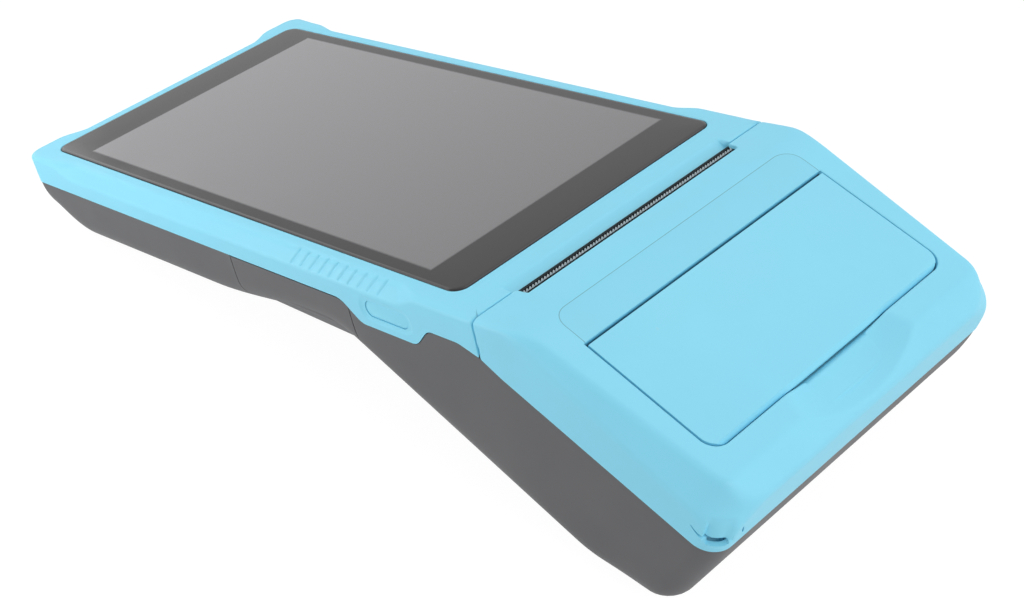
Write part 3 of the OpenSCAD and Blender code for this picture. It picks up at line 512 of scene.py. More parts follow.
def firstCrossing(shape, origin, ray, reach, steps=60, halvings=22):
    # walks out along each ray from inside, then halves the step in which the sign turns
    low = np.zeros(origin.shape[:-1])
    high = np.full(origin.shape[:-1], float(reach))
    found = np.zeros(origin.shape[:-1], bool)
    for r in np.linspace(0, reach, steps)[1:]:
        out = (shape(origin + ray * r) > 0) & ~found
        high[out] = r
        found |= out
        low[~found] = r
    for _ in range(halvings):
        mid = (low + high) / 2
        inside = shape(origin + ray * mid[..., None]) <= 0
        low, high = np.where(inside, mid, low), np.where(inside, high, mid)
    return origin + ray * ((low + high) / 2)[..., None]


# making meshes: doubles nearer than "weld" metres are merged, "sharp" is an edge's angle
meshing = {"weld": 2e-6, "sliver": 1e-7, "sharp": 38, "sharpCore": 30, "sharpSoft": 32,
        "underSkin": 0.85}


def gridFaces(rows, cols, first=0, loopRows=False, loopCols=False):
    i = np.arange(rows if loopRows else rows - 1)[:, None]
    j = np.arange(cols if loopCols else cols - 1)[None, :]
    a, b = i * cols + j, i * cols + (j + 1) % cols
    c, d = ((i + 1) % rows) * cols + (j + 1) % cols, ((i + 1) % rows) * cols + j
    return stack([a, b, c, d], -1).reshape(-1, 4) + first


def rework(mesh, weld=False, turn=False, flatten=0):
    # merges doubles, joins faces in one plane and turns faces outwards; returns its open edges
    work = bmesh.new()
    work.from_mesh(mesh)
    if weld:
        bmesh.ops.remove_doubles(work, verts=work.verts, dist=meshing["weld"])
    if weld and not flatten:
        bmesh.ops.dissolve_degenerate(work, edges=work.edges, dist=meshing["sliver"])
    if flatten:
        bmesh.ops.dissolve_limit(work, angle_limit=math.radians(flatten), verts=work.verts,
            edges=work.edges)
    if turn:
        bmesh.ops.recalc_face_normals(work, faces=work.faces)
    openEdges = sum(1 for e in work.edges if len(e.link_faces) != 2)
    if weld or turn:
        work.to_mesh(mesh)
    work.free()
    return openEdges


def smooth(mesh, sharp):
    mesh.polygons.foreach_set("use_smooth", np.ones(len(mesh.polygons), bool))
    mesh.set_sharp_from_angle(angle=math.radians(sharp))


def applyModifiers(obj):
    live = obj.evaluated_get(bpy.context.evaluated_depsgraph_get())
    ready = bpy.data.meshes.new_from_object(live)
    obj.modifiers.clear()
    obj.data = ready


def dress(obj, body, slot, replaced=(), look=None):
    obj.data.materials.clear()
    obj.data.materials.append(paints[look or slot])
    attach(obj, body)
    if replaced:
        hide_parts(*replaced)


def addPiece(name, grids, body, slot, replaced=(), look=None, sharp=meshing["sharp"]):
    # grids: (points, loopRows, loopCols); edges that meet are merged, and faces turned outwards
    points, faces, first = [], [], 0
    for g, loopRows, loopCols in grids:
        rows, cols = g.shape[:2]
        points.append(g.reshape(-1, 3))
        faces.append(gridFaces(rows, cols, first, loopRows, loopCols))
        first += rows * cols
    points, faces = toWorld(join(points)), join(faces)
    mesh = bpy.data.meshes.new(name)
    mesh.vertices.add(len(points))
    mesh.vertices.foreach_set("co", points.astype(np.float32).ravel())
    mesh.loops.add(faces.size)
    mesh.loops.foreach_set("vertex_index", faces.astype(np.int32).ravel())
    mesh.polygons.add(len(faces))
    mesh.polygons.foreach_set("loop_start", np.arange(len(faces), dtype=np.int32) * 4)
    mesh.update(calc_edges=True)
    mesh.validate()
    openEdges = rework(mesh, weld=True, turn=True)
    smooth(mesh, sharp)
    dress(placeObject(name, mesh), body, slot, replaced, look)
    print("made", name, len(mesh.polygons), "faces,", openEdges, "open edges")


def cutOut(name, *solids):
    # takes closed tubes away from a piece; each is a stack of rings of points
    obj = bpy.data.objects[name]
    solver = "EXACT" if rework(obj.data) else "MANIFOLD"
    for rings in solids:
        rows, cols = rings.shape[:2]
        faces = gridFaces(rows, cols, 0, False, True).tolist()
        faces += [list(range(cols))[::-1], list(range((rows - 1) * cols, rows * cols))]
        mesh = bpy.data.meshes.new("tool")
        mesh.from_pydata(toWorld(rings).reshape(-1, 3).tolist(), [], faces)
        rework(mesh, turn=True)
        tool = placeObject("tool", mesh)
        cut = obj.modifiers.new("cut", "BOOLEAN")
        cut.object, cut.operation, cut.solver = tool, "DIFFERENCE", solver
        bpy.context.view_layer.update()
        applyModifiers(obj)
        bpy.data.objects.remove(tool)
    obj.data.name = name
    smooth(obj.data, meshing["sharp"])
    print("cut", name, solver, len(solids), "times:", len(obj.data.polygons), "faces,",
        rework(obj.data), "open edges")


def spread(spans):
    # numbers from a list of (start, stop, step) spans, each at about its own step
    parts = [np.linspace(a, b, max(2, int(round(abs(b - a) / s)) + 1))[:-1] for a, b, s in spans]
    return join(parts + [[spans[-1][1]]])


def filletPath(corners, steps=10):
    # a polyline whose corners (x, y, radius) become arcs
    pts = np.array([c[:2] for c in corners], float)
    out = [pts[:1]]
    for a, b, c, r in zip(pts[:-2], pts[1:-1], pts[2:], [c[2] for c in corners[1:-1]]):
        u, v = (a - b) / np.linalg.norm(a - b), (c - b) / np.linalg.norm(c - b)
        half = math.acos(np.clip(u @ v, -1, 1)) / 2
        reach = r / math.tan(half)
        s = np.linspace(0, 1, steps)[:, None]
        # the arc's chord is carried by a rational quadratic with weight sin(half)
        w = math.sin(half)
        p0, p2 = b + u * reach, b + v * reach
        out.append(((1 - s) ** 2 * p0 + 2 * w * s * (1 - s) * b + s ** 2 * p2)
            / ((1 - s) ** 2 + 2 * w * s * (1 - s) + s ** 2))
    out.append(pts[-1:])
    return join(out)


def copyNode(node):  # a node's mesh with its place in it
    source = frame["nodes"][node]
    mesh = source.data.copy()
    mesh.transform(source.matrix_world)
    return mesh


def addCore(name, node, body, slot, shape):
    # the node's own inside: a copy whose outer faces are drawn in under the new skin
    mesh = copyNode(node)
    p = np.empty(len(mesh.vertices) * 3, np.float32)
    mesh.vertices.foreach_get("co", p)
    p = fromWorld(p.reshape(-1, 3).astype(float))
    for _ in range(3):
        over = np.clip(shape(p) + meshing["underSkin"], 0, 3)
        p -= slopeOf(shape, p) * over[:, None]
    mesh.vertices.foreach_set("co", toWorld(p).astype(np.float32).ravel())
    mesh.update()
    rework(mesh, weld=True)
    mesh.set_sharp_from_angle(angle=math.radians(meshing["sharpCore"]))
    dress(placeObject(name, mesh), body, slot, [node])
    print("made", name, len(mesh.polygons), "faces")


# blue front bezel, and the parting line between blue and grey, seen from the side, from the lid's
# end to the far end (y, z, radius)
bezelSize = {
    "glassHalf": 37.6, "glassNear": 0.1, "glassFar": 143.85, "glassCorner": 3.1, "ledgeZ": -1.15,
    "ledgeLow": -2.2, "ledgeIn": 1.4, "wall": 2.0, "seamY": -8.7, "seamZ": -5.0, "slotHalf": 32.0,
    "edge": 0.35, "keyY": 17.1, "keyZ": -7.0, "keyLong": 12.4, "keyHigh": 3.6, "keyLoose": 0.08,
    "dish": 0.17, "dishLong": 2.6, "dishHigh": 1.5, "ribs": 10, "ribPitch": 3.0, "ribStart": 17.7,
    "ribDeep": 0.2, "ribLean": -0.7, "ribHalf": (0.42, 1.35), "ribZ": -1.75, "reach": 26
}
partingLine = filletPath([(-80, -44.05, 0), (-13.98, -11.49, 14), (-8.8, -8.4, 6), (-3.5, -6.8, 6),
        (5.0, -6.8, 3.4), (9.2, -11.3, 3.4), (25.6, -11.3, 4), (31.0, -7.0, 5),
        (160, -7.0, 0)])


def partingAt(y):
    return np.interp(y, partingLine[:, 0], partingLine[:, 1])


def oblong(y, z, y0, z0, length, height):  # distance from an oblong in the side view
    dy = np.clip(np.abs(y - y0) - (length - height) / 2, 0, None)
    return np.hypot(dy, z - z0) - height / 2


def bezelDepth(p):
    x, y, z = p[..., 0], p[..., 1], p[..., 2]
    b = bezelSize
    f = softMax(depth(p), b["seamY"] - y, b["edge"])
    # slot: a slope from the glass down to the paper, in two planes
    shore = np.maximum((y + 5.4) * 0.545 - (z + 0.2) * 0.838,
        (y + 7.4) * 0.316 - (z + 1.5) * 0.949)
    f = softMax(f, -np.maximum(shore, np.abs(x) - b["slotHalf"]), b["edge"])
    # shallow dish round the key
    ring = oblong(y, z, b["keyY"], b["keyZ"] - 0.05, b["keyLong"] + b["dishLong"],
        b["keyHigh"] + b["dishHigh"])
    inner = casing["halfWidth"] - b["dish"] - np.abs(x)
    f = softMax(f, -softMax(ring, inner, 0.7), 0.5)
    # ribs on the left grip: slanted shallow grooves
    lean = y - b["ribStart"] - (z + 1.7) * b["ribLean"]
    k = np.clip(np.round(lean / b["ribPitch"]), 0, b["ribs"] - 1)
    groove = np.maximum(np.abs(lean - k * b["ribPitch"]) - b["ribHalf"][0],
        np.abs(z - b["ribZ"]) - b["ribHalf"][1])
    return np.where(x < 0, f + b["ribDeep"] * ease(-groove / 0.3), f)


def column(values, fixed):  # points whose first value runs on and whose second is fixed
    return stack([values, np.full_like(values, fixed)], -1)


def row(fixed, values):
    return stack([np.full_like(values, fixed), values], -1)


def withZ(points, z):
    return join([points, np.full((len(points), 1), z)], -1)


def bezelRing():
    # points on the glass opening, the matching targets round the casing, and the way between them
    b = bezelSize
    h, n0, n1, r = b["glassHalf"], b["glassNear"], b["glassFar"], b["glassCorner"]
    half, start = casing["halfWidth"], 4
    side = spread([(n0 + start, 9, 0.3), (9, 47, 0.24), (47, n1 - 6, 0.8)])
    # far corner: the opening's arc against the casing's corner
    a = np.linspace(0, np.pi / 2, 34)[1:-1]
    turn = stack([np.cos(a), np.sin(a)], -1)
    middle = np.array([h - r, n1 - r])
    far = np.linspace(h - r - 1, 0, 60)
    # near corner: targets run down the side to the seam's corner and then along the seam
    down = spread([(n0 + start, b["seamY"], 0.32)])[1:]
    along = spread([(half, h - start, 0.4)])[1:]
    nearT = join([row(half, down), column(along, b["seamY"])])
    s = np.linspace(0, 1, len(nearT) + 1)[1:]
    lead = [np.clip((s - begin) / run, 0, 1) for begin, run in ((0, 0.3), (0.3, 0.4), (0.7, 0.3))]
    a = lead[1] * np.pi / 2
    nearQ = stack([h - r + r * np.cos(a), n0 + r - r * np.sin(a)], -1)
    nearQ[:, 1] += (1 - lead[0]) * (start - r)
    nearQ[:, 0] -= lead[2] * (start - r)
    seam = np.linspace(h - start, 0, 90)[1:]
    # right half from the seam's middle to the far middle, then mirrored
    q = join([column(seam, n0)[::-1], nearQ[::-1], row(h, side), middle + r * turn,
        column(far, n1)])
    t = join([column(seam, b["seamY"])[::-1], nearT[::-1], row(half, side),
        middle + 12 * turn, column(far, n1 + 6)])
    q = join([q, (q * [-1, 1])[::-1][1:-1]])
    t = join([t, (t * [-1, 1])[::-1][1:-1]])
    out = t - q
    return q, out / np.linalg.norm(out, axis=-1, keepdims=True), t


def makeBezel():
    b = bezelSize
    q, out, target = bezelRing()
    half, seamY = casing["halfWidth"], b["seamY"]
    x, y = np.abs(target[:, 0]), target[:, 1]
    seamZ = np.where(x > half - 2, partingAt(seamY) + np.clip(half - x, 0, 2) * 1.4, b["seamZ"])
    rimZ = np.where(np.abs(y - seamY) < 1e-6, seamZ, partingAt(np.minimum(y, 149)))
    a = np.radians(spread([(0, 18, 1.6), (18, 62, 1.35), (62, 90, 1.6)]))
    origin = join([q, rimZ[:, None]], -1)[:, None, :] + np.zeros((1, len(a), 1))
    ray = out[:, None, :] * np.sin(a)[None, :, None]
    up = np.broadcast_to(np.cos(a)[None, :, None], ray.shape[:2] + (1,))
    ray = join([ray, up], -1)
    outer = firstCrossing(bezelDepth, origin, ray, b["reach"])
    plain = lambda p: np.maximum(depth(p), seamY - p[..., 1]) + b["wall"]
    inner = firstCrossing(plain, origin[:, ::6], ray[:, ::6], b["reach"])[:, ::-1]
    # the wall round the glass and the ledge it rests on, from the inside out (way out, z)
    outer[:, 0] = withZ(q + out * 0.2, -0.2)
    profile = [(-b["ledgeIn"], b["ledgeLow"]), (-b["ledgeIn"], b["ledgeZ"]),
        (0, b["ledgeZ"]), (0, -0.42), (0.06, -0.27)]
    wall = stack([withZ(q + out * way, z) for way, z in profile], 1)
    addPiece("bezelShell", [(join([wall, outer, inner], 1), True, True)], "housing",
        "blue_shell", ["front_bezel"])


makeBezel()


# blue paper lid
lidSize = {
    "recessHalf": 34.82, "recessNear": -30.32, "recessFar": 0.22, "recessCorner": 3.6,
    "recessDeep": 1.72, "pastRecess": 0.28, "frontY": -8.92, "slotY": -11.65, "slotHalf": 31.1,
    "skin": 1.0, "rimN": -13.44, "rimGap": 0.07, "rimHalf": 42.9, "scoopR": 47.26, "scoopT": -38.8,
    "scoopN": 44.0, "scoopRound": 0.3, "dishTop": -5.7, "dishRun": 3.7, "dishDeep": 0.95,
    "dishEnd": -11.2, "reach": 27
}


def dishAt(p):  # the corner is hollowed a little above the eye, most at the eye's upper lip
    s = lidSize
    t, n = alongSlope(p)
    run = (p[..., 0] + 43 - t - 40.8) / 1.4142
    sunk = 1 - (1 - np.clip((s["dishTop"] - n) / s["dishRun"], 0, 1)) ** 2
    ends = ease((run + 2.6) / 0.6) * ease((3.4 - run) / 2.0)
    return s["dishDeep"] * sunk * ends * ease((n - s["dishEnd"]) / 0.3) * (p[..., 0] < 0)


def lidDepth(p):
    s = lidSize
    t, n = alongSlope(p)
    x = p[..., 0]
    scoop = s["scoopR"] - np.sqrt(x ** 2 + (t - s["scoopT"]) ** 2 + (n - s["scoopN"]) ** 2)
    f = softMax(depth(p), scoop, s["scoopRound"])
    inSlot = ease((s["slotHalf"] + 0.3 - np.abs(x)) / 0.6)
    front = p[..., 1] - s["frontY"] + (s["frontY"] - s["slotY"]) * inSlot
    return softMax(f + dishAt(p), front, 0.5)


def lidRing():
    # round the recess of the lever plate, right half only: points on it, their way out in the
    # slope's plane, and targets on the lid's rim
    s = lidSize
    h, t0, t1, r = s["recessHalf"], s["recessNear"], s["recessFar"], s["recessCorner"]
    a = np.linspace(0, np.pi / 2, 40)
    nearX = np.linspace(0, h - r, 74)[:-1]
    side = spread([(t0 + r, -20, 0.4), (-20, t1 - 0.3, 0.7)])[1:]
    q = join([column(nearX, t0),
        stack([h - r + r * np.sin(a), t0 + r - r * np.cos(a)], -1),
        row(h, side)])
    out = join([np.tile([0.0, -1.0], (len(nearX), 1)),
        stack([np.sin(a), -np.cos(a)], -1),
        np.tile([1.0, 0.0], (len(side), 1))])
    way = slopeWay(out[:, 0], out[:, 1], np.zeros(len(q)))
    meet = firstCrossing(depth, fromSlope(q[:, 0], q[:, 1], np.full(len(q), -12.0)), way, 16)
    target = fromSlope(meet[:, 0], alongSlope(meet)[0], np.full(len(q), s["rimN"]))
    # from the recess's far corner round the seam to the middle of the slot
    up = spread([(-22.5, -12, 0.7), (-12, s["frontY"] - 0.05, 0.35)])
    cross = spread([(42.4, 38, 0.45), (38, 32, 0.8), (32, 30.3, 0.1), (30.3, 0, 0.8)])
    upT = stack([np.full_like(up, s["rimHalf"]), up, partingAt(up) + s["rimGap"]], -1)
    crossY = np.where(cross > s["slotHalf"], s["frontY"], s["slotY"]) + 0.4
    crossZ = np.full_like(cross, partingAt(s["frontY"]) + s["rimGap"])
    far = join([upT, stack([cross, crossY, crossZ], -1)])
    farX = np.where(np.arange(len(far)) < len(up) + 8, h, np.minimum(h, far[:, 0]))
    return join([q, column(farX, t1)]), way, join([target, far])


def makeLid():
    s = lidSize
    q, way, target = lidRing()
    ground = fromSlope(q[:, 0], q[:, 1], np.full(len(q), s["rimN"]))
    reach = target - ground
    reach /= np.linalg.norm(reach, axis=-1, keepdims=True)
    planar = join([way, reach[len(way):]])
    upward = slopeWay(*np.zeros((2, len(q))), np.ones(len(q)))
    # mirrored for the left half
    flip = lambda v: join([v, (v * [-1, 1, 1])[::-1][1:-1]])
    ground, reach, upward, planar = flip(ground), flip(reach), flip(upward), flip(planar)
    a = np.radians(spread([(0, 12, 1.5), (12, 62, 1.35), (62, 86, 0.55), (86, 90, 1.0)]))
    ray = upward[:, None] * np.cos(a)[None, :, None] + reach[:, None] * np.sin(a)[None, :, None]
    ray /= np.linalg.norm(ray, axis=-1, keepdims=True)
    base = np.broadcast_to(ground[:, None], ray.shape)
    outer = firstCrossing(lidDepth, base, ray, s["reach"])
    edge = outer[:, 0].copy()
    outer[:, 0] = firstCrossing(lidDepth, ground + planar * s["pastRecess"], upward, 20)
    inside = lambda p: np.maximum(lidDepth(p), p[..., 1] - s["slotY"]) + s["skin"]
    inner = firstCrossing(inside, base[:, ::4], ray[:, ::4], s["reach"])[:, ::-1]
    # the recess's wall, from its foot up to its rounded lip
    _, top = alongSlope(edge)
    drop = lambda d: (edge - upward * d[:, None])[:, None]
    wall = [drop(np.maximum(s["recessDeep"] + top, 0.9)), drop(np.full(len(top), 0.4)),
        drop(np.full(len(top), 0.12)) + planar[:, None] * 0.07]
    addPiece("lidShell", [(join(wall + [outer, inner], 1), True, True)], "lid",
        "blue_shell", ["paper_lid"], "lid_blue")


makeLid()
addCore("lidCore", "paper_lid", "lid", "blue_shell", lidDepth)

# grey rear housing, in a part before and a part behind the battery cover, and the cover
greySize = {
    "skin": 1.0, "below": 0.22, "belowCover": 0.42, "setIn": 0.16, "rimN": -13.7, "startT": -29.0,
    "farY": 136.0, "coverNear": 29.2, "coverFar": 68.4, "gap": 0.13, "turns": 46, "reach": 75,
    "cutBack": 1.2, "cutBackT": -37.4
}


def greyDepth(p):
    return depth(p) + greySize["setIn"]


def greySpine(part):
    # middle of the casing at the parting line's height, and which way each section looks
    s = greySize
    spans = {"near": [(fromSlope(0.0, s["startT"], s["rimN"])[1], -30, 1.2), (-30, -3, 0.9),
        (-3, s["coverNear"] - s["gap"], 0.75)],
        "cover": [(s["coverNear"] + s["gap"], s["coverFar"] - s["gap"], 0.8)],
        "far": [(s["coverFar"] + s["gap"], s["farY"], 1.6)]}
    y = spread(spans[part])
    yz = stack([y, partingAt(y) - s["belowCover" if part == "cover" else "below"]], -1)
    look = np.tile([0.0, -1.0], (len(y), 1))
    if part == "near":  # turns from the slope's direction to straight down
        yz[0] = fromSlope(0.0, s["startT"], s["rimN"])[1:]
        turn = np.linspace(0, 1, s["turns"])[:-1]
        a = slopeAngle + np.radians(90 - casing["slope"]) * turn
        yz = join([np.tile(yz[0], (len(turn), 1)), yz])
        look = join([stack([-np.cos(a), -np.sin(a)], -1), look])
    if part == "far":  # turns from straight down to straight ahead
        a = np.linspace(0, 1, s["turns"])[1:] * np.pi / 2
        yz = join([yz, np.tile(yz[-1], (len(a), 1))])
        look = join([look, stack([np.sin(a), -np.cos(a)], -1)])
    return yz, look


def makeGrey(part, name, body, node):
    s = greySize
    yz, look = greySpine(part)
    centre = join([np.zeros((len(yz), 1)), yz], -1)
    ahead = join([np.zeros((len(yz), 1)), look], -1)
    deep = np.linalg.norm(firstCrossing(greyDepth, centre, ahead, 60) - centre, axis=-1)
    # aim at an even spacing round a box as deep as the casing is at this section
    v = spread([(0, 0.62, 0.03), (0.62, 0.86, 0.011), (0.86, 1.0, 0.016)])
    v = join([-v[::-1], v[1:]])
    av = np.abs(v)[None]
    wide = casing["halfWidth"] * np.clip(av / 0.72, 0, 1) * np.sign(v)[None]
    low = deep[:, None] * np.clip((1 - av) / 0.28, 0, 1)
    ray = (wide * np.ones((len(yz), 1)))[..., None] * np.array([1.0, 0, 0])
    ray = ray + low[..., None] * ahead[:, None]
    ray /= np.linalg.norm(ray, axis=-1, keepdims=True)
    base = np.broadcast_to(centre[:, None], ray.shape)
    outer = firstCrossing(greyDepth, base, ray, s["reach"])
    inner = firstCrossing(lambda p: greyDepth(p) + s["skin"], base, ray, s["reach"])
    if part == "near":
        # the end wall is cut back inside, so that the lid can swing past it
        t, _ = alongSlope(inner[0])
        shift = slopeWay(0.0, 0.0, -s["cutBack"])
        inner[0] += shift * (t < s["cutBackT"])[:, None]
    grids = [(join([outer, inner[:, ::-1]], 1), False, True),
        (stack([outer[0], inner[0]]), False, False),
        (stack([outer[-1], inner[-1]]), False, False)]
    addPiece(name, grids, body, "grey_shell", [node])


makeGrey("near", "rearShellNear", "housing", "rear_housing")
makeGrey("far", "rearShellFar", "housing", "rear_housing")
makeGrey("cover", "coverShell", "battery_door", "battery_cover")
addCore("rearCore", "rear_housing", "housing", "grey_shell", greyDepth)
addCore("coverCore", "battery_cover", "battery_door", "grey_shell", greyDepth)

# strap eye, along the rounded corner; the stations are (way along the outline from the corner
# arc's start, bottom, top)
eyeSize = {
    "mouth": [(2.1, -11.55, -10.8), (2.5, -11.6, -10.6), (3.4, -11.6, -10.45), (4.6, -11.6, -10.4),
        (5.6, -11.6, -10.45), (6.25, -11.5, -10.55), (6.5, -11.2, -10.8)],
    "slit": [(-1.5, -9.38, -9.2), (-0.5, -9.98, -9.6), (0.4, -10.42, -9.84), (1.2, -10.66, -10.0),
        (2.0, -10.9, -10.3), (2.9, -11.0, -10.5)],
    "exit": [(9.1, -9.1, -8.5), (9.4, -10.2, -8.8), (9.8, -10.9, -9.7), (10.0, -11.0, -10.7)],
    "shelf": 1.15, "hole": 4.4, "drop": 1.5, "raise": 0.3, "slitDeep": 2.2, "exitDeep": 0.8,
    "over": 1.5, "sections": 40
}
openings = {
    "screwX": 37.2, "screwNear": 7.0, "screwFar": 134.0, "screwR": 2.3, "screwTop": -14.0,
    "speakerY": 118.0, "speakerPitch": 2.975, "speakerR": 0.7, "portY": 84.0, "portZ": -9.1,
    "portLong": 9.4, "portHigh": 3.6
}


def alongCorner(way, n, out):
    # a point on the lid's plan outline: straight side, arc of the corner's radius, straight end
    r = casing["cornerLow"]
    a = np.clip(way / r, 0, np.pi / 2)
    x = -casing["halfWidth"] + r - (r + out) * np.cos(a) + np.clip(way - r * np.pi / 2, 0, None)
    t = casing["lidEnd"] + r - (r + out) * np.sin(a) + np.clip(-way, 0, None)
    return fromSlope(x, t, n)


def eyeTube(stations, deep, over=eyeSize["over"], drop=0.0, lift=0.0):
    way, low, high = np.array(stations).T
    s = np.linspace(way[0], way[-1], eyeSize["sections"])
    low, high = np.interp(s, way, low) - drop, np.interp(s, way, high) + lift
    corner = [(low, -deep), (low, over), (high, over), (high, -deep)]
    return stack([alongCorner(s, n, out) for n, out in corner], 1)


def roundTube(centre, axis, start, stop, half, r, sides=40):
    # prism along one axis; its outline is a circle of radius r, drawn out by half along y
    a = np.linspace(0, 2 * np.pi, sides, endpoint=False)
    u, v = r * np.cos(a), r * np.sin(a)
    u = u + half * np.sign(np.round(u, 6))
    ends = []
    for at in (start, stop):
        p = np.zeros((sides, 3)) + centre
        p[:, 1] += u
        p[:, 0 if axis == 2 else 2] += v
        p[:, axis] = at
        ends.append(p)
    return stack(ends)


def cutOpenings():
    e, o, b = eyeSize, openings, bezelSize
    eye = [eyeTube(e["mouth"], e["shelf"]),
        eyeTube(e["mouth"], e["hole"], 0.05 - e["shelf"], e["drop"], e["raise"]),
        eyeTube(e["slit"], e["slitDeep"]), eyeTube(e["exit"], e["exitDeep"])]
    screws = lambda y: [roundTube((x, y, 0), 2, -70, o["screwTop"], 0, o["screwR"])
        for x in (-o["screwX"], o["screwX"])]
    pitch = o["speakerPitch"]
    speaker = [roundTube((i * pitch, o["speakerY"] + j * pitch, 0), 2, -40, -15, 0,
        o["speakerR"], 16) for i in range(-2, 3) for j in range(-1, 2)]
    port = roundTube((0, o["portY"], o["portZ"]), 0, 39.5, 46, (o["portLong"] - o["portHigh"]) / 2,
        o["portHigh"] / 2)
    keys = [roundTube((0, b["keyY"], b["keyZ"]), 0, side * 38, side * 46,
        (b["keyLong"] - b["keyHigh"]) / 2, b["keyHigh"] / 2 + b["keyLoose"])
        for side in (-1, 1)]
    cutOut("lidShell", *eye)
    cutOut("lidCore", *eye)
    cutOut("bezelShell", *keys)
    cutOut("rearShellNear", *screws(o["screwNear"]))
    cutOut("rearShellFar", *screws(o["screwFar"]), port, *speaker)


cutOpenings()

# smaller pieces, edges broken: width of the bevel and its steps
bodyOf = {n: body for body, nodes in frame["record"]["behaviour"]["bodies"].items() for n in nodes}
softEdges = {
    "lever_plate": (0.32, 4), "left_key": (0.55, 5), "right_key": (0.55, 5),
    "mechanism_chassis": (0.12, 2), "print_head": (0.08, 2), "head_heat_sink": (0.15, 2),
    "stepper_motor": (0.25, 3), "platen_roller": (0.2, 3), "platen_bushes": (0.12, 2),
    "paper_bin": (0.25, 2), "latch_hooks": (0.15, 2), "charging_port": (0.06, 2),
    "case_screws": (0.12, 2), "shield_cans": (0.15, 3), "battery_pack": (0.8, 4),
    "speaker": (0.2, 2), "display_frame": (0.15, 2), "key_switches": (0.15, 2),
    "lid_hinge_pin": (0.15, 2), "lever_pin": (0.1, 2), "platen_shaft": (0.12, 2),
    "motor_shaft": (0.1, 2), "idler_pin": (0.1, 2), "main_board": (0.08, 1)
}
bevelling = {"flat": 1.5, "hard": 40}  # angles: joined into one face, and taken for an edge


def addSoft(node, width, steps):
    # a copy of the CAD node whose hard edges are rounded by a small bevel
    mesh = copyNode(node)
    rework(mesh, weld=True, flatten=bevelling["flat"])
    name = "".join(w.capitalize() if i else w for i, w in enumerate(node.split("_"))) + "Soft"
    obj = placeObject(name, mesh)
    bevel = obj.modifiers.new("softEdge", "BEVEL")
    bevel.width = width * mm
    bevel.segments = steps
    bevel.limit_method = "ANGLE"
    bevel.angle_limit = math.radians(bevelling["hard"])
    applyModifiers(obj)
    obj.data.name = name
    smooth(obj.data, meshing["sharpSoft"])
    dress(obj, bodyOf[node], slotOf[node], [node])
    return len(obj.data.polygons)


total = sum(addSoft(node, *edge) for node, edge in softEdges.items())
print("softened", len(softEdges), "pieces,", total, "faces")

# cover glass
glassSize = {
    "half": 37.48, "near": 0.22, "far": 143.73, "corner": 3.0, "thick": 1.1, "edge": 0.8,
    "edgeFall": 0.34, "foot": 0.1, "inner": 8.0
}


def roundRect(x0, x1, y0, y1, r, inset, steps=12, sides=24):
    # outline of a rectangle with rounded corners, drawn in by inset, anticlockwise from lower left
    centres = [(x0, y0, 1, 1, 180), (x1, y0, -1, 1, 270), (x1, y1, -1, -1, 0), (x0, y1, 1, -1, 90)]
    arcs = []
    for cx, cy, sx, sy, start in centres:
        a = np.radians(start + np.linspace(0, 90, steps))
        mid = np.array([cx + sx * r, cy + sy * r])
        arcs.append(mid + max(r - inset, 0.01) * stack([np.cos(a), np.sin(a)], -1)
            + np.array([sx, sy]) * max(inset - r, 0.0))
    out = []
    for a, b in zip(arcs, arcs[1:] + arcs[:1]):
        out.append(a)
        out.append(a[-1] + (b[0] - a[-1]) * np.linspace(0, 1, sides + 1)[1:-1, None])
    return join(out)


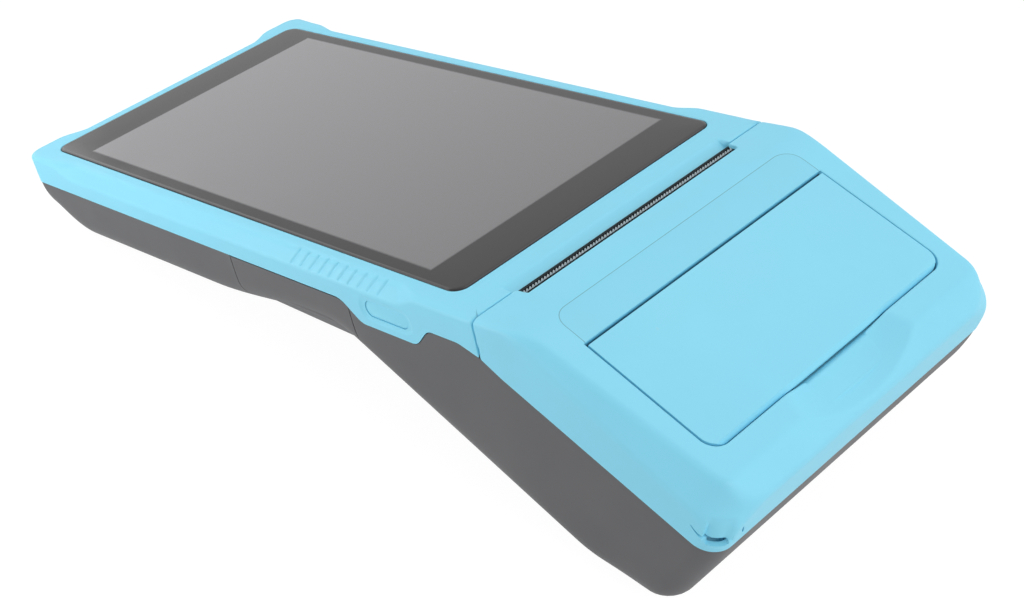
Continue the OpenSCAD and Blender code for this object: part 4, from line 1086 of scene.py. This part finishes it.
def makeGlass():
    # rings from the middle of the top over the edge to the middle of the underside; the edge falls
    # away like the last part of an ellipse
    g = glassSize
    a = np.linspace(0, np.pi / 2, 9)[1:]
    profile = [(g["inner"], 0.0), (g["edge"], 0.0)]
    profile += [(g["edge"] * (1 - np.sin(k)), -g["edgeFall"] * (1 - np.cos(k))) for k in a]
    profile += [(0.0, -g["thick"] + g["foot"]), (g["foot"], -g["thick"]),
        (g["inner"], -g["thick"])]
    rings = [withZ(roundRect(-g["half"], g["half"], g["near"], g["far"], g["corner"], inset), z)
        for inset, z in profile]
    middle = np.array([0, (g["near"] + g["far"]) / 2])
    close = lambda ring, z: [withZ(middle + (ring[:, :2] - middle) * k, z) for k in (0.0, 0.5)]
    rings = close(rings[0], 0.0) + rings + close(rings[-1], -g["thick"])[::-1]
    addPiece("coverGlass", [(stack(rings, 1), True, False)], "housing", "cover_glass",
        ["cover_glass"])


makeGlass()

# tear bar, and the lip that carries the paper out of the slot and the blade's seat (y, z), both
# painted near-black: a painted shadow for the shaded gaps of the slot
slotSize = {
    "half": 31.0, "pitch": 0.8, "sharpen": 1.15, "barY": -10.35, "barThick": 0.3, "foot": -4.4,
    "root": -1.1, "tip": -0.45, "sharp": 30, "sections": 60,
    "guide": [(-9.2, -2.6), (-9.2, -1.32), (-9.05, -1.12), (-8.4, -1.14), (-7.75, -1.6),
        (-7.75, -2.6)],
    "seat": [(-11.6, -3.2), (-11.6, -1.12), (-11.5, -1.02), (-9.9, -1.02), (-9.75, -1.17),
        (-9.75, -3.2)]
}


def makeStrip(name, x, outline, body, slot, replaced, look):
    # an outline of six (y, z) corners, each one number or one for each x, carried along x
    loop = stack([stack([x, y + 0 * x, z + 0 * x], -1) for y, z in outline], 1)
    caps = [(stack([loop[i, :3], loop[i, 3:][::-1]]), False, False) for i in (0, -1)]
    addPiece(name, [(loop, False, True)] + caps, body, slot, replaced, look, slotSize["sharp"])


def makeTearBar():
    # for each point along the bar, up its far face, over the tooth and down its near face
    s = slotSize
    n = int(2 * s["half"] / s["pitch"])
    x = np.linspace(-n, n, 8 * n + 1) * s["pitch"] / 2
    k = x / s["pitch"]
    saw = np.clip((1 - 2 * np.abs(k - np.round(k))) * s["sharpen"], 0, 1)
    top = s["root"] + (s["tip"] - s["root"]) * saw
    y0, y1 = s["barY"], s["barY"] + s["barThick"]
    outline = [(y0, s["foot"]), (y0, top - 0.28), (y0 + 0.1, top), (y0 + 0.18, top),
        (y1, top - 0.24), (y1, s["foot"])]
    makeStrip("tearBar", x, outline, "lid", "steel", ["tear_bar"], "tear_bar")


makeTearBar()
# painted shadow: both strips are near-black to stand in for the shaded gaps either side of the tear
# bar
for name, body, outline, wider in (("slotGuide", "housing", "guide", 0.6),
        ("bladeSeat", "lid", "seat", 0.05)):
    half = slotSize["half"] + wider
    makeStrip(name, np.linspace(-half, half, slotSize["sections"]), slotSize[outline], body,
        "dark_plastic", [], "slot_dark")
